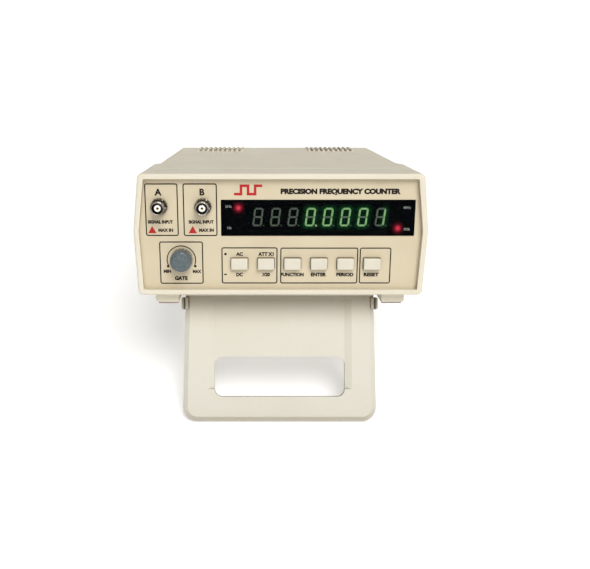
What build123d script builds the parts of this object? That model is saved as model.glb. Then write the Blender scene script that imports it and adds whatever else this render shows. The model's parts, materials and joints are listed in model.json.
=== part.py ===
"""Bench frequency counter standing on its deployed bail.

Every piece is drawn with the case level: X to the right of the front panel, Y rearwards from the
front lip, Z up from the underside of the case. One placement at the end tilts the whole instrument
back on to its bail edge and rear feet, with the origin under the middle of the footprint.
"""
import os
from math import atan2, cos, degrees, radians, sin

from build123d import *

# ---------------------------------------------------------------- case
CASE_HEIGHT = 90.0
CASE_DEPTH = 256.0
TOP_HALF = 102.9            # half width along the top edge
WAIST_HALF = 107.5          # half width at the widest line
BASE_HALF = 105.5           # half width along the bottom edge
WAIST_Z = 48.0              # height of the widest line, where the covers meet
COVER_WALL = 2.5
SIDE_STEP = 4.0             # the covers step in behind the hand grip
STEP_START_Y = 74.0
STEP_END_Y = 81.0
CASE_CORNER = 4.0
SEAM_GAP = 0.6              # groove along the waist where the covers meet
SEAM_DEPTH = 0.6

# ---------------------------------------------------------------- front frame and panel
FRAME_DEPTH = 39.0
LIP_WIDTH = 4.0
PANEL_Y = 4.0
PANEL_THICKNESS = 2.5
PANEL_BACK = PANEL_Y + PANEL_THICKNESS
LEDGE_WIDTH = 5.8
LEDGE_DEPTH = 2.5
TONGUE_LENGTH = 5.5
TONGUE_OUTER = COVER_WALL + 0.2
TONGUE_INNER = 4.4
GROOVE_DEPTH = 0.8
GROOVE_WIDTH = 2.0
FINE_GROOVE_Y = 18.5
FINE_GROOVE_WIDTH = 0.7
FINE_GROOVE_DEPTH = 0.35
LIP_ROUND = 1.6
COVER_ROUND = 1.2
PANEL_RIB = 2.5

# ---------------------------------------------------------------- display
WINDOW_WIDTH = 141.6
WINDOW_HEIGHT = 26.8
WINDOW_X = 27.1
WINDOW_Z = 57.4
WINDOW_SET_BACK = 0.3
WINDOW_FLANGE = 2.0
WINDOW_FLANGE_THICKNESS = 1.5
WINDOW_CORNER = 0.8
DIGIT_PITCH = 12.9
DIGITS_PER_MODULE = 4
DISPLAY_X = 28.5
DISPLAY_Z = 57.0
MODULE_SIZE = (51.2, 8.0, 19.0)
MODULE_Y = 10.5
BOARD_THICKNESS = 1.6
LAMP_SPOTS = [(-31.2, 63.4), (-31.2, 48.2), (87.4, 63.4), (87.4, 48.2)]
LAMP_RADIUS = 1.5
LAMP_DOME_Y = 13.0
DISPLAY_BOARD_HEIGHT = 34.0

# ---------------------------------------------------------------- buttons
BUTTON_NAMES = ["coupling", "attenuator", "function", "enter", "period", "reset"]
BUTTON_PITCH = 19.6
FIRST_BUTTON_X = -30.4
BUTTON_XS = [FIRST_BUTTON_X + BUTTON_PITCH * index for index in range(len(BUTTON_NAMES))]
BUTTON_Z = 23.3
BUTTON_WIDTH = 12.4
BUTTON_HEIGHT = 8.5
BUTTON_PROUD = 3.6
BUTTON_CLEARANCE = 0.4
BUTTON_FLANGE = 1.4
BUTTON_FLANGE_Y = PANEL_BACK + 0.3
BUTTON_BACK = 12.0
BUTTON_EDGE = 0.9
BUTTON_CORNER = 0.8
BUTTON_HOLE_CORNER = 1.0
PLUNGER_SIDE = 3.2
PLUNGER_FRONT = 7.0
PLUNGER_BACK = 28.0
PLUNGER_CLEARANCE = 0.3
SWITCH_SIZE = (8.4, 14.0, 8.4)
SWITCH_Y = 19.0
SWITCH_BORE_END = 31.5

# ---------------------------------------------------------------- gate knob
KNOB_X = -73.0
KNOB_Z = 26.9
KNOB_RADIUS = 8.3
KNOB_LENGTH = 11.0
KNOB_GAP = 0.8
KNOB_FLUTES = 18
SHAFT_RADIUS = 3.0
BUSH_RADIUS = 3.5
BUSH_LENGTH = 6.0
SHAFT_CLEARANCE = 0.05
POT_RADIUS = 8.2
POT_DEPTH = 9.0
POT_TAGS = 3
POT_TAG_PITCH = 5.0
POT_TAG_SIZE = (1.2, 5.0)
POT_TAG_THICKNESS = 0.8
POT_NUT_FLATS = 10.0
POT_NUT_THICKNESS = 2.0
SHAFT_BACK = 13.5
SHAFT_END_GAP = 0.4
FLUTE_RADIUS = 0.9
KNOB_CROWN = 1.5
KNOB_CROWN_INSET = 1.2      # from the skirt's radius
KNOB_CROWN_ROUND = 1.35
KNOB_ROOF = 1.0             # over the end of the shaft
KNOB_TAPER = 2.0            # degrees
KNOB_RECESS_RADIUS = 6.4
KNOB_RECESS_DEPTH = 3.6

# ---------------------------------------------------------------- channel sockets
SOCKET_XS = {"a": -88.4, "b": -56.6}
SOCKET_Z = 65.8
BARREL_RADIUS = 4.8
BARREL_BORE = 4.05
BARREL_PROUD = 11.0
THREAD_RADIUS = 4.7
THREAD_START = 0.5
BACK_FLANGE_RADIUS = 7.2
BACK_FLANGE = 2.5
BARREL_FLOOR = 3.0
BARREL_BACK = 15.0
INSULATOR_RADIUS = 2.4
CONTACT_RADIUS = 0.9
CONTACT_BORE = 0.5
CONTACT_BORE_DEPTH = 5.0
CONTACT_TAIL = 4.0
INSULATOR_SET_BACK = 1.2
CONTACT_SET_BACK = 1.6
LUG_RADIUS = 1.0
LUG_REACH = 5.6
LUG_SET_BACK = 3.2
LUG_ROOT = BARREL_BORE + 0.2
NUT_FLATS = 11.2
NUT_THICKNESS = 2.4
WASHER_THICKNESS = 0.8
WASHER_RADIUS = 6.2

# ---------------------------------------------------------------- feet and bail
FOOT_INNER = 76.7
FOOT_OUTER = 94.2
FOOT_HEIGHT = 7.8
FOOT_SLOPE = 1.4
FOOT_ROUND = 1.2
PAD_THICKNESS = 1.1
PAD_MARGIN = 0.5
PAD_CORNER = 1.5
FRONT_FOOT_Y = (9.0, 42.0)
REAR_FOOT_Y = (214.0, 240.0)
PIVOT_Y = 25.0
PIVOT_Z = -4.3
PIN_RADIUS = 2.3
PIN_CLEARANCE = 0.05
PIN_END = 82.0
PIN_END_GAP = 0.5
KNUCKLE_RADIUS = 4.0
BAIL_LEAN = 15.7            # degrees forward of square to the base
BAIL_LENGTH = 100.3
BAIL_THICKNESS = 5.5
BAIL_TOP_HALF = 72.9
BAIL_FOOT_HALF = 75.1
BAIL_CORNER = 11.0
BAIL_WALL = 2.0
SLOT_WIDTH = 101.0
SLOT_HEIGHT = 31.0
SLOT_ABOVE_EDGE = 19.0
SLOT_CORNER = 6.0
BEVEL_WIDTH = 5.4
RECESS_DEPTH = 1.6
RECESS_TOP = KNUCKLE_RADIUS + 2.0
EDGE_BEVEL = 3.6
EDGE_BEVEL_DEPTH = 2.0
BAIL_RIBS = 4
BAIL_RIB_PITCH = 36.0
BAIL_RIB_WIDTH = 1.6
HOLLOW_MARGIN = 4.0
HOLLOW_CORNER = 3.0
EAR_OUTER = 76.1
EAR_INNER = 74.3
EAR_START = 4.2             # along the bail, from the pivot
EAR_END = 13.6
EAR_CORNER = 1.5
PLATE_OVERLAP = 1.0         # pins start this far inside the bail's sides
TAPER_ALLOWANCE = 0.2       # the bail is this much wider at the ears than at its top
EAR_WEB = 2.0               # joins the ear to the bail behind the groove between them

# ---------------------------------------------------------------- rear panel
REAR_PANEL_Y = 249.5
REAR_PANEL_THICKNESS = 2.0
REAR_PANEL_BACK = REAR_PANEL_Y + REAR_PANEL_THICKNESS
FLANGE_THICKNESS = 2.5
INLET_X = 62.0
INLET_Z = 30.0
INLET_FLANGE = (30.5, 22.5)
INLET_BODY = (27.0, 19.6)
INLET_CAVITY = (24.0, 16.4)
INLET_CAVITY_DEPTH = 15.5
INLET_CORNER = 2.0
INLET_KEY = 4.0             # cut corners that let the plug in one way up
BLADE_SIZE = (2.0, 4.0)
BLADE_SPOTS = [(-7.0, -2.0), (0.0, 2.0), (7.0, -2.0)]
BLADE_SET_BACK = 2.0
BLADE_TAIL = 5.0
INLET_DEPTH = 19.0
ROCKER_X = 24.0
ROCKER_Z = 30.0
ROCKER_BEZEL = (15.0, 21.0)
ROCKER_BODY = (12.8, 18.8)
ROCKER_KEY = (9.6, 15.0)
ROCKER_TILT = 10.0          # degrees each side of centre
ROCKER_DEPTH = 15.0
ROCKER_WELL = 6.0
ROCKER_PIVOT_DEPTH = 2.6
ROCKER_BEZEL_CORNER = 1.0
ROCKER_WELL_GAP = (0.4, 1.0)  # round the rocker, each side
ROCKER_RISE = 1.4            # of the rocker's ends over its middle
ROCKER_END_INSET = 1.2
ROCKER_HEEL = 3.0
FUSE_X = -6.0
FUSE_Z = 30.0
FUSE_FLANGE_RADIUS = 7.8
FUSE_BODY_RADIUS = 6.0
FUSE_CAP_RADIUS = 6.4
FUSE_CAP_PROUD = 9.0
FUSE_RADIUS = 2.6
FUSE_GLASS_RADIUS = 2.4
FUSE_CAP_LENGTH = 5.5
FUSE_LENGTH = 20.0
FUSE_BORE = 4.2
FUSE_HOLDER_DEPTH = 28.0
FUSE_HOLDER_FLOOR = 2.0
FUSE_CAP_GAP = 0.3
FUSE_CAP_CHAMFER = 0.8
FUSE_CAP_SLOT = (9.8, 1.4)
FUSE_CAP_SLOT_DEPTH = 1.6
SPIGOT_CLEARANCE = 0.08
SPIGOT_LENGTH = 7.0

# ---------------------------------------------------------------- inside
MAIN_BOARD_TOP = BUTTON_Z - SWITCH_SIZE[2] / 2
MAIN_BOARD_HALF = 82.0
MAIN_BOARD_Y = (16.0, 226.0)
STANDOFF_SPOTS = [(-70.0, 52.0), (70.0, 52.0), (-70.0, 180.0), (70.0, 180.0)]
POST_SPOTS = [(-92.0, 92.0), (92.0, 92.0), (-92.0, 228.0), (92.0, 228.0)]
POST_RADIUS = 4.0
POST_SHOULDER = 1.0
SCREW_RADIUS = 1.5
BOARD_BLOCKS = {            # centre, size and corner radius of the boxes on the main board
    "screening_can": ((-38.0, 78.0), (54.0, 40.0, 18.0), 1.0),
    "crystal_oscillator": ((20.0, 62.0), (20.5, 13.0, 5.5), 2.5),
    "counter_chip": ((32.0, 104.0), (52.0, 13.8, 4.2), 0.4),
}
BLOCK_ROUND = 0.35
SCREW_HEAD_RADIUS = 2.8
SCREW_HEAD_HEIGHT = 2.0
SCREW_SINK = 3.0
SCREW_HEAD_GAP = 0.4
CASE_SCREW_GRIP = 10.0      # thread in the upper posts
BOARD_SCREW_LENGTH = 8.0
TRANSFORMER_SPOT = (44.0, 188.0)
TRANSFORMER_CORE = (42.0, 22.0, 36.0)
TRANSFORMER_COIL = (30.0, 38.0, 26.0)
COIL_RISE = 5.0
COIL_CORNER = 4.0
HEAT_SINK_SPOT = (-8.0, 190.0)
HEAT_SINK_SIZE = (32.0, 13.0, 25.0)
HEAT_SINK_BASE = 2.5
FINS = 7
FIN_PITCH = 5.0
FIN_THICKNESS = 1.2
CAPACITOR_SPOTS = [(-40.0, 176.0), (-40.0, 196.0), (-58.0, 196.0)]
CAPACITOR_RADIUS = 6.3
CAPACITOR_HEIGHT = 25.0
CAPACITOR_ROUND = 0.8
RIBBON_X = 5.0
RIBBON_WIDTH = 25.0
RIBBON_THICKNESS = 1.0
RIBBON_Z = 48.0
RIBBON_TURN_Y = 42.0
RIBBON_BEND = 4.0
LEAD_RADIUS = 1.2
LEAD_TURN_Y = 66.0
LEAD_BEND = 6.0
LEAD_DIP_Z = 48.0
LEAD_LANDINGS = [-56.0, -30.0]
POST_SPLIT_Z = 40.0

# ---------------------------------------------------------------- vents
VENT_CENTRE_X = 55.0
VENT_BARS = 10
VENT_PITCH = 4.75
VENT_BAR_WIDTH = 2.5
VENT_BAR_PROUD = 1.3
VENT_BAR_Y = (206.0, 253.0)
VENT_SLOT_LENGTH = 38.0
VENT_SLOT_WIDTH = 1.7
VENT_BAR_ROOT = 0.5
VENT_BAR_TAPER = 12.0       # degrees
BASE_VENT_Y = 150.0
BASE_VENTS = 8
BASE_VENT_PITCH = 5.5
BASE_VENT_LENGTH = 50.0
BASE_VENT_WIDTH = 2.4


def face_plane(depth):
    """Plane across the case at a depth behind the front lip; local x is X and local y is Z."""
    return Plane.XZ.offset(-depth)


def case_outline(inset, step=0.0):
    """Six-sided cross-section of the case, drawn inset all round and stepped in at the sides."""
    top = TOP_HALF - inset - step
    waist = WAIST_HALF - inset - step
    base = BASE_HALF - inset - step
    high = CASE_HEIGHT - inset
    Polygon(
        (-top, high), (-waist, WAIST_Z), (-base, inset),
        (base, inset), (waist, WAIST_Z), (top, high), align=None,
    )
    corners = vertices().group_by(Axis.Y)
    fillet(corners[0] + corners[-1], radius=max(CASE_CORNER - inset, 1.0))


def case_block(start, end, inset, step=0.0, mode=Mode.ADD):
    """Straight length of the case section between two depths."""
    with BuildSketch(face_plane(start)) as section:
        case_outline(inset, step)
    extrude(section.sketch, amount=start - end, mode=mode)


def case_ring(start, end, outer, inner, step=0.0, mode=Mode.ADD):
    """Hollow length of the case section, between two insets."""
    with BuildSketch(face_plane(start)) as outside:
        case_outline(outer, step)
    with BuildSketch(face_plane(start)) as inside:
        case_outline(inner, step)
    extrude(outside.sketch - inside.sketch, amount=start - end, mode=mode)


def cover_volume(inset, mode):
    """Body of both covers together: wide at the hand grip, then stepped in to the rear."""
    case_block(FRAME_DEPTH, STEP_START_Y, inset, mode=mode)
    with BuildSketch(face_plane(STEP_START_Y)) as grip:
        case_outline(inset)
    with BuildSketch(face_plane(STEP_END_Y)) as body:
        case_outline(inset, SIDE_STEP)
    loft([grip.sketch.face(), body.sketch.face()], ruled=True, mode=mode)
    case_block(STEP_END_Y, CASE_DEPTH, inset, SIDE_STEP, mode=mode)


def cover_shell():
    """Hollow tube of the two covers with the inner rib that the rear panel rests against."""
    cover_volume(0.0, Mode.ADD)
    cover_volume(COVER_WALL, Mode.SUBTRACT)
    case_ring(REAR_PANEL_Y - PANEL_RIB, REAR_PANEL_Y, COVER_WALL, COVER_WALL + PANEL_RIB, SIDE_STEP)


def recess_outline(half_width):
    """Shallow panel let into the bail's front, from the hinge down to the slot's lower corners."""
    Polygon(
        (-half_width, -RECESS_TOP), (-half_width, SLOT_ABOVE_EDGE - BAIL_LENGTH + SLOT_CORNER),
        (half_width, SLOT_ABOVE_EDGE - BAIL_LENGTH + SLOT_CORNER), (half_width, -RECESS_TOP), align=None,
    )


# ================================================================ case pieces
with BuildPart() as seam_groove:
    cover_volume(-1.0, Mode.ADD)
    cover_volume(SEAM_DEPTH, Mode.SUBTRACT)
    split(bisect_by=Plane.XY.offset(WAIST_Z - SEAM_GAP / 2), keep=Keep.TOP)
    split(bisect_by=Plane.XY.offset(WAIST_Z + SEAM_GAP / 2), keep=Keep.BOTTOM)

with BuildPart() as front_frame:
    case_block(0, FRAME_DEPTH, 0)
    fillet(faces().sort_by(Axis.Y)[0].edges(), radius=LIP_ROUND)
    case_block(0, PANEL_BACK, LIP_WIDTH, mode=Mode.SUBTRACT)
    case_block(PANEL_BACK, PANEL_BACK + LEDGE_DEPTH, LEDGE_WIDTH, mode=Mode.SUBTRACT)
    case_block(PANEL_BACK + LEDGE_DEPTH, FRAME_DEPTH, LIP_WIDTH, mode=Mode.SUBTRACT)
    case_ring(FRAME_DEPTH - GROOVE_WIDTH, FRAME_DEPTH, -1, GROOVE_DEPTH, mode=Mode.SUBTRACT)
    case_ring(FINE_GROOVE_Y, FINE_GROOVE_Y + FINE_GROOVE_WIDTH, -1, FINE_GROOVE_DEPTH, mode=Mode.SUBTRACT)
    case_ring(FRAME_DEPTH - TONGUE_LENGTH, FRAME_DEPTH + TONGUE_LENGTH, TONGUE_OUTER, TONGUE_INNER)
front_frame.part.label = "front_frame"

with BuildPart() as top_cover:
    cover_shell()
    split(bisect_by=Plane.XY.offset(WAIST_Z), keep=Keep.TOP)
    add(seam_groove.part, mode=Mode.SUBTRACT)
    top_front = edges().filter_by(Axis.X).group_by(Axis.Z)[-1].sort_by(Axis.Y)[0]
    fillet(top_front, radius=COVER_ROUND)
    vent_middle = (VENT_BAR_Y[0] + VENT_BAR_Y[1]) / 2
    with BuildSketch(Plane.XY.offset(CASE_HEIGHT - COVER_WALL - 1)):
        with Locations((-VENT_CENTRE_X, vent_middle), (VENT_CENTRE_X, vent_middle)):
            with GridLocations(VENT_PITCH, 0, VENT_BARS - 1, 1):
                SlotOverall(VENT_SLOT_LENGTH, VENT_SLOT_WIDTH, rotation=90)
    extrude(amount=COVER_WALL + 2, mode=Mode.SUBTRACT)
    with BuildSketch(Plane.XY.offset(CASE_HEIGHT - VENT_BAR_ROOT)):
        with Locations((-VENT_CENTRE_X, vent_middle), (VENT_CENTRE_X, vent_middle)):
            with GridLocations(VENT_PITCH, 0, VENT_BARS, 1):
                Rectangle(VENT_BAR_WIDTH, VENT_BAR_Y[1] - VENT_BAR_Y[0])
    extrude(amount=VENT_BAR_ROOT + VENT_BAR_PROUD, taper=VENT_BAR_TAPER)
    with BuildSketch(Plane.XY.offset(POST_SPLIT_Z)):
        with Locations(*POST_SPOTS):
            Circle(POST_RADIUS)
            Circle(SCREW_RADIUS, mode=Mode.SUBTRACT)
    extrude(until=Until.NEXT)
top_cover.part.label = "top_cover"

with BuildPart() as bottom_cover:
    cover_shell()
    split(bisect_by=Plane.XY.offset(WAIST_Z), keep=Keep.BOTTOM)
    add(seam_groove.part, mode=Mode.SUBTRACT)
    with BuildSketch(Plane.XY.offset(COVER_WALL / 2)):
        with Locations(*POST_SPOTS):
            Circle(POST_RADIUS + POST_SHOULDER)
    extrude(amount=POST_SPLIT_Z - COVER_WALL / 2)
    with BuildSketch(Plane.XY.offset(COVER_WALL / 2)):
        with Locations(*STANDOFF_SPOTS):
            Circle(POST_RADIUS)
    extrude(amount=MAIN_BOARD_TOP - BOARD_THICKNESS - COVER_WALL / 2)
    with BuildSketch():
        with Locations(*POST_SPOTS):
            Circle(SCREW_RADIUS)
    extrude(amount=POST_SPLIT_Z, mode=Mode.SUBTRACT)
    with BuildSketch():
        with Locations(*POST_SPOTS):
            Circle(SCREW_HEAD_RADIUS + SCREW_HEAD_GAP)
    extrude(amount=SCREW_SINK, mode=Mode.SUBTRACT)
    with BuildSketch(Plane.XY.offset(MAIN_BOARD_TOP - BOARD_THICKNESS)):
        with Locations(*STANDOFF_SPOTS):
            Circle(SCREW_RADIUS)
    extrude(amount=-BOARD_SCREW_LENGTH, mode=Mode.SUBTRACT)
    with BuildSketch(Plane.XY.offset(-1)):
        with Locations((-VENT_CENTRE_X, BASE_VENT_Y), (VENT_CENTRE_X, BASE_VENT_Y)):
            with GridLocations(BASE_VENT_PITCH, 0, BASE_VENTS, 1):
                SlotOverall(BASE_VENT_LENGTH, BASE_VENT_WIDTH, rotation=90)
    extrude(amount=COVER_WALL + 2, mode=Mode.SUBTRACT)
bottom_cover.part.label = "bottom_cover"

with BuildPart() as front_panel:
    case_block(PANEL_Y, PANEL_BACK, LIP_WIDTH)
    with BuildSketch(face_plane(PANEL_Y)):
        with Locations((WINDOW_X, WINDOW_Z)):
            RectangleRounded(WINDOW_WIDTH, WINDOW_HEIGHT, WINDOW_CORNER)
        with Locations(*[(x, BUTTON_Z) for x in BUTTON_XS]):
            RectangleRounded(
                BUTTON_WIDTH + 2 * BUTTON_CLEARANCE, BUTTON_HEIGHT + 2 * BUTTON_CLEARANCE, BUTTON_HOLE_CORNER,
            )
        with Locations(*[(x, SOCKET_Z) for x in SOCKET_XS.values()]):
            Circle(THREAD_RADIUS)
        with Locations((KNOB_X, KNOB_Z)):
            Circle(BUSH_RADIUS)
    extrude(amount=-PANEL_THICKNESS, mode=Mode.SUBTRACT)
front_panel.part.label = "front_panel"

with BuildPart() as display_window:
    window_front = face_plane(PANEL_Y + WINDOW_SET_BACK)
    with BuildSketch(window_front):
        with Locations((WINDOW_X, WINDOW_Z)):
            RectangleRounded(WINDOW_WIDTH, WINDOW_HEIGHT, WINDOW_CORNER)
    extrude(amount=WINDOW_SET_BACK - PANEL_THICKNESS)
    with BuildSketch(face_plane(PANEL_BACK)):
        with Locations((WINDOW_X, WINDOW_Z)):
            Rectangle(WINDOW_WIDTH, WINDOW_HEIGHT + 2 * WINDOW_FLANGE)
    extrude(amount=-WINDOW_FLANGE_THICKNESS)
display_window.part.label = "display_window"

with BuildPart() as rear_panel:
    case_block(REAR_PANEL_Y, REAR_PANEL_BACK, COVER_WALL, SIDE_STEP)
    with BuildSketch(face_plane(REAR_PANEL_Y)):
        with Locations((INLET_X, INLET_Z)):
            Rectangle(*INLET_BODY)
        with Locations((ROCKER_X, ROCKER_Z)):
            Rectangle(*ROCKER_BODY)
        with Locations((FUSE_X, FUSE_Z)):
            Circle(FUSE_BODY_RADIUS)
    extrude(amount=-REAR_PANEL_THICKNESS, mode=Mode.SUBTRACT)
rear_panel.part.label = "rear_panel"

# ================================================================ feet and bail
feet = []
for side, word in [(-1, "left"), (1, "right")]:
    for place, (foot_start, foot_end) in [("front", FRONT_FOOT_Y), ("rear", REAR_FOOT_Y)]:
        with BuildPart() as foot:
            with BuildSketch(face_plane(foot_start)):
                Polygon(
                    (side * FOOT_INNER, 0), (side * FOOT_INNER, -FOOT_HEIGHT),
                    (side * (FOOT_OUTER - FOOT_SLOPE), -FOOT_HEIGHT),
                    (side * FOOT_OUTER, -FOOT_HEIGHT + FOOT_SLOPE), (side * FOOT_OUTER, 0), align=None,
                )
            extrude(amount=foot_start - foot_end)
            fillet(edges().filter_by(Axis.Z), radius=FOOT_ROUND)
            if place == "front":
                pivot_face = Plane.YZ.offset(side * (FOOT_INNER - PLATE_OVERLAP))
                with BuildSketch(pivot_face):
                    with Locations((PIVOT_Y, PIVOT_Z)):
                        Circle(PIN_RADIUS + PIN_CLEARANCE)
                bore_depth = PIN_END + PIN_END_GAP - FOOT_INNER + PLATE_OVERLAP
                extrude(amount=side * bore_depth, mode=Mode.SUBTRACT)
        foot.part.label = f"{place}_foot_{word}"
        feet.append(foot)

with BuildPart() as foot_pads:
    for side in (-1, 1):
        for foot_start, foot_end in (FRONT_FOOT_Y, REAR_FOOT_Y):
            with BuildSketch(Plane.XY.offset(-FOOT_HEIGHT)):
                pad_x = side * (FOOT_INNER + FOOT_OUTER - FOOT_SLOPE) / 2
                with Locations((pad_x, (foot_start + foot_end) / 2)):
                    pad_width = FOOT_OUTER - FOOT_SLOPE - FOOT_INNER - 2 * PAD_MARGIN
                    RectangleRounded(pad_width, foot_end - foot_start - 2 * PAD_MARGIN, PAD_CORNER)
            extrude(amount=-PAD_THICKNESS)
foot_pads.part.label = "foot_pads"

lean = radians(BAIL_LEAN)
bail_face = Plane(origin=(0, PIVOT_Y, PIVOT_Z), x_dir=(1, 0, 0), z_dir=(0, -cos(lean), sin(lean)))
with BuildPart() as bail_stand:
    with BuildSketch(bail_face.offset(-BAIL_THICKNESS / 2)):
        Polygon(
            (-BAIL_TOP_HALF, 0), (-BAIL_FOOT_HALF, -BAIL_LENGTH),
            (BAIL_FOOT_HALF, -BAIL_LENGTH), (BAIL_TOP_HALF, 0), align=None,
        )
        fillet(vertices().group_by(Axis.Y)[0], radius=BAIL_CORNER)
    extrude(amount=BAIL_THICKNESS)
    lower_edges = edges().filter_by(Axis.X).sort_by(Axis.Z)[:2].sort_by(Axis.Y)
    chamfer(lower_edges[0], length=EDGE_BEVEL_DEPTH, length2=EDGE_BEVEL)
    with BuildSketch(Plane.YZ.offset(-BAIL_TOP_HALF)):
        with Locations((PIVOT_Y, PIVOT_Z)):
            Circle(KNUCKLE_RADIUS)
            Rectangle(KNUCKLE_RADIUS, KNUCKLE_RADIUS, align=(Align.MAX, Align.MIN))
    extrude(amount=2 * BAIL_TOP_HALF)
    with BuildSketch(bail_face.offset(BAIL_THICKNESS / 2)) as recess_top:
        recess_outline(SLOT_WIDTH / 2 + BEVEL_WIDTH)
    with BuildSketch(bail_face.offset(BAIL_THICKNESS / 2 - RECESS_DEPTH)) as recess_floor:
        recess_outline(SLOT_WIDTH / 2)
    loft([recess_top.sketch.face(), recess_floor.sketch.face()], ruled=True, mode=Mode.SUBTRACT)
    with BuildSketch(bail_face.offset(-BAIL_THICKNESS)):
        with Locations((0, -BAIL_LENGTH + SLOT_ABOVE_EDGE)):
            RectangleRounded(SLOT_WIDTH, SLOT_HEIGHT, SLOT_CORNER, align=(Align.CENTER, Align.MIN))
    extrude(amount=2 * BAIL_THICKNESS, mode=Mode.SUBTRACT)
    with BuildSketch(bail_face.offset(-BAIL_THICKNESS / 2)):
        with Locations((0, -KNUCKLE_RADIUS - HOLLOW_MARGIN)):
            hollow_width = 2 * (BAIL_TOP_HALF - HOLLOW_MARGIN)
            slot_top = BAIL_LENGTH - SLOT_ABOVE_EDGE - SLOT_HEIGHT
            hollow_height = slot_top - KNUCKLE_RADIUS - 2 * HOLLOW_MARGIN
            RectangleRounded(hollow_width, hollow_height, HOLLOW_CORNER, align=(Align.CENTER, Align.MAX))
        with GridLocations(BAIL_RIB_PITCH, 0, BAIL_RIBS, 1):
            Rectangle(BAIL_RIB_WIDTH, 2 * BAIL_LENGTH, mode=Mode.SUBTRACT)
    extrude(amount=BAIL_THICKNESS - RECESS_DEPTH - BAIL_WALL, mode=Mode.SUBTRACT)
    for side in (-1, 1):
        with BuildSketch(Plane.YZ.offset(side * (BAIL_TOP_HALF - PLATE_OVERLAP))):
            with Locations((PIVOT_Y, PIVOT_Z)):
                Circle(PIN_RADIUS)
        extrude(amount=side * (PIN_END - BAIL_TOP_HALF + PLATE_OVERLAP))
    for side in (-1, 1):
        ear_centre = (side * (BAIL_TOP_HALF + EAR_OUTER - EAR_WEB) / 2, -(EAR_START + EAR_END) / 2)
        ear_width = EAR_OUTER - BAIL_TOP_HALF + EAR_WEB
        with BuildSketch(bail_face.offset(-BAIL_THICKNESS / 2)):
            with Locations(ear_centre):
                Rectangle(ear_width, EAR_END - EAR_START)
            fillet(vertices(), radius=EAR_CORNER)
        extrude(amount=BAIL_THICKNESS)
        groove_width = EAR_INNER - BAIL_TOP_HALF
        with BuildSketch(bail_face.offset(-BAIL_THICKNESS / 2 + EAR_WEB)):
            with Locations((side * (BAIL_TOP_HALF + groove_width / 2 + TAPER_ALLOWANCE), ear_centre[1])):
                Rectangle(groove_width, EAR_END)
        extrude(amount=BAIL_THICKNESS, mode=Mode.SUBTRACT)
bail_stand.part.label = "bail_stand"

# ================================================================ gate knob
with BuildPart() as gate_knob:
    with BuildSketch(face_plane(PANEL_Y - KNOB_GAP)):
        with Locations((KNOB_X, KNOB_Z)):
            Circle(KNOB_RADIUS)
            with PolarLocations(KNOB_RADIUS + FLUTE_RADIUS / 2, KNOB_FLUTES):
                Circle(FLUTE_RADIUS, mode=Mode.SUBTRACT)
    extrude(amount=KNOB_LENGTH - KNOB_CROWN, taper=KNOB_TAPER)
    with BuildSketch(face_plane(PANEL_Y - KNOB_GAP - KNOB_LENGTH + 2 * KNOB_CROWN)):
        with Locations((KNOB_X, KNOB_Z)):
            Circle(KNOB_RADIUS - KNOB_CROWN_INSET)
    extrude(amount=2 * KNOB_CROWN)
    fillet(faces().sort_by(Axis.Y)[0].edges(), radius=KNOB_CROWN_ROUND)
    with BuildSketch(face_plane(PANEL_Y - KNOB_GAP)):
        with Locations((KNOB_X, KNOB_Z)):
            Circle(KNOB_RECESS_RADIUS)
    extrude(amount=KNOB_RECESS_DEPTH, mode=Mode.SUBTRACT)
    with BuildSketch(face_plane(PANEL_Y - KNOB_GAP)):
        with Locations((KNOB_X, KNOB_Z)):
            Circle(SHAFT_RADIUS)
    extrude(amount=KNOB_LENGTH - KNOB_CROWN - KNOB_ROOF, mode=Mode.SUBTRACT)
gate_knob.part.label = "gate_knob"

with BuildPart() as gate_shaft:
    with BuildSketch(face_plane(SHAFT_BACK)):
        with Locations((KNOB_X, KNOB_Z)):
            Circle(SHAFT_RADIUS)
    extrude(amount=SHAFT_BACK - PANEL_Y + KNOB_GAP + KNOB_LENGTH - KNOB_CROWN - KNOB_ROOF)
gate_shaft.part.label = "gate_shaft"

with BuildPart() as gate_potentiometer:
    with BuildSketch(face_plane(PANEL_BACK)):
        with Locations((KNOB_X, KNOB_Z)):
            Circle(POT_RADIUS)
    extrude(amount=-POT_DEPTH)
    with BuildSketch(face_plane(PANEL_BACK)):
        with Locations((KNOB_X, KNOB_Z)):
            Circle(BUSH_RADIUS)
    extrude(amount=BUSH_LENGTH)
    with BuildSketch(face_plane(SHAFT_BACK + SHAFT_END_GAP)):
        with Locations((KNOB_X, KNOB_Z)):
            Circle(SHAFT_RADIUS + SHAFT_CLEARANCE)
    extrude(amount=SHAFT_BACK + SHAFT_END_GAP + KNOB_LENGTH, mode=Mode.SUBTRACT)
    with BuildSketch(face_plane(PANEL_BACK + POT_DEPTH / 2)):
        with Locations((KNOB_X, KNOB_Z - POT_RADIUS)):
            with GridLocations(POT_TAG_PITCH, 0, POT_TAGS, 1):
                Rectangle(*POT_TAG_SIZE)
    extrude(amount=-POT_TAG_THICKNESS)
gate_potentiometer.part.label = "gate_potentiometer"

with BuildPart() as potentiometer_nut:
    with BuildSketch(face_plane(PANEL_Y)):
        with Locations((KNOB_X, KNOB_Z)):
            RegularPolygon(POT_NUT_FLATS / 2, 6, major_radius=False)
            Circle(BUSH_RADIUS, mode=Mode.SUBTRACT)
    extrude(amount=POT_NUT_THICKNESS)
potentiometer_nut.part.label = "potentiometer_nut"

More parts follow.
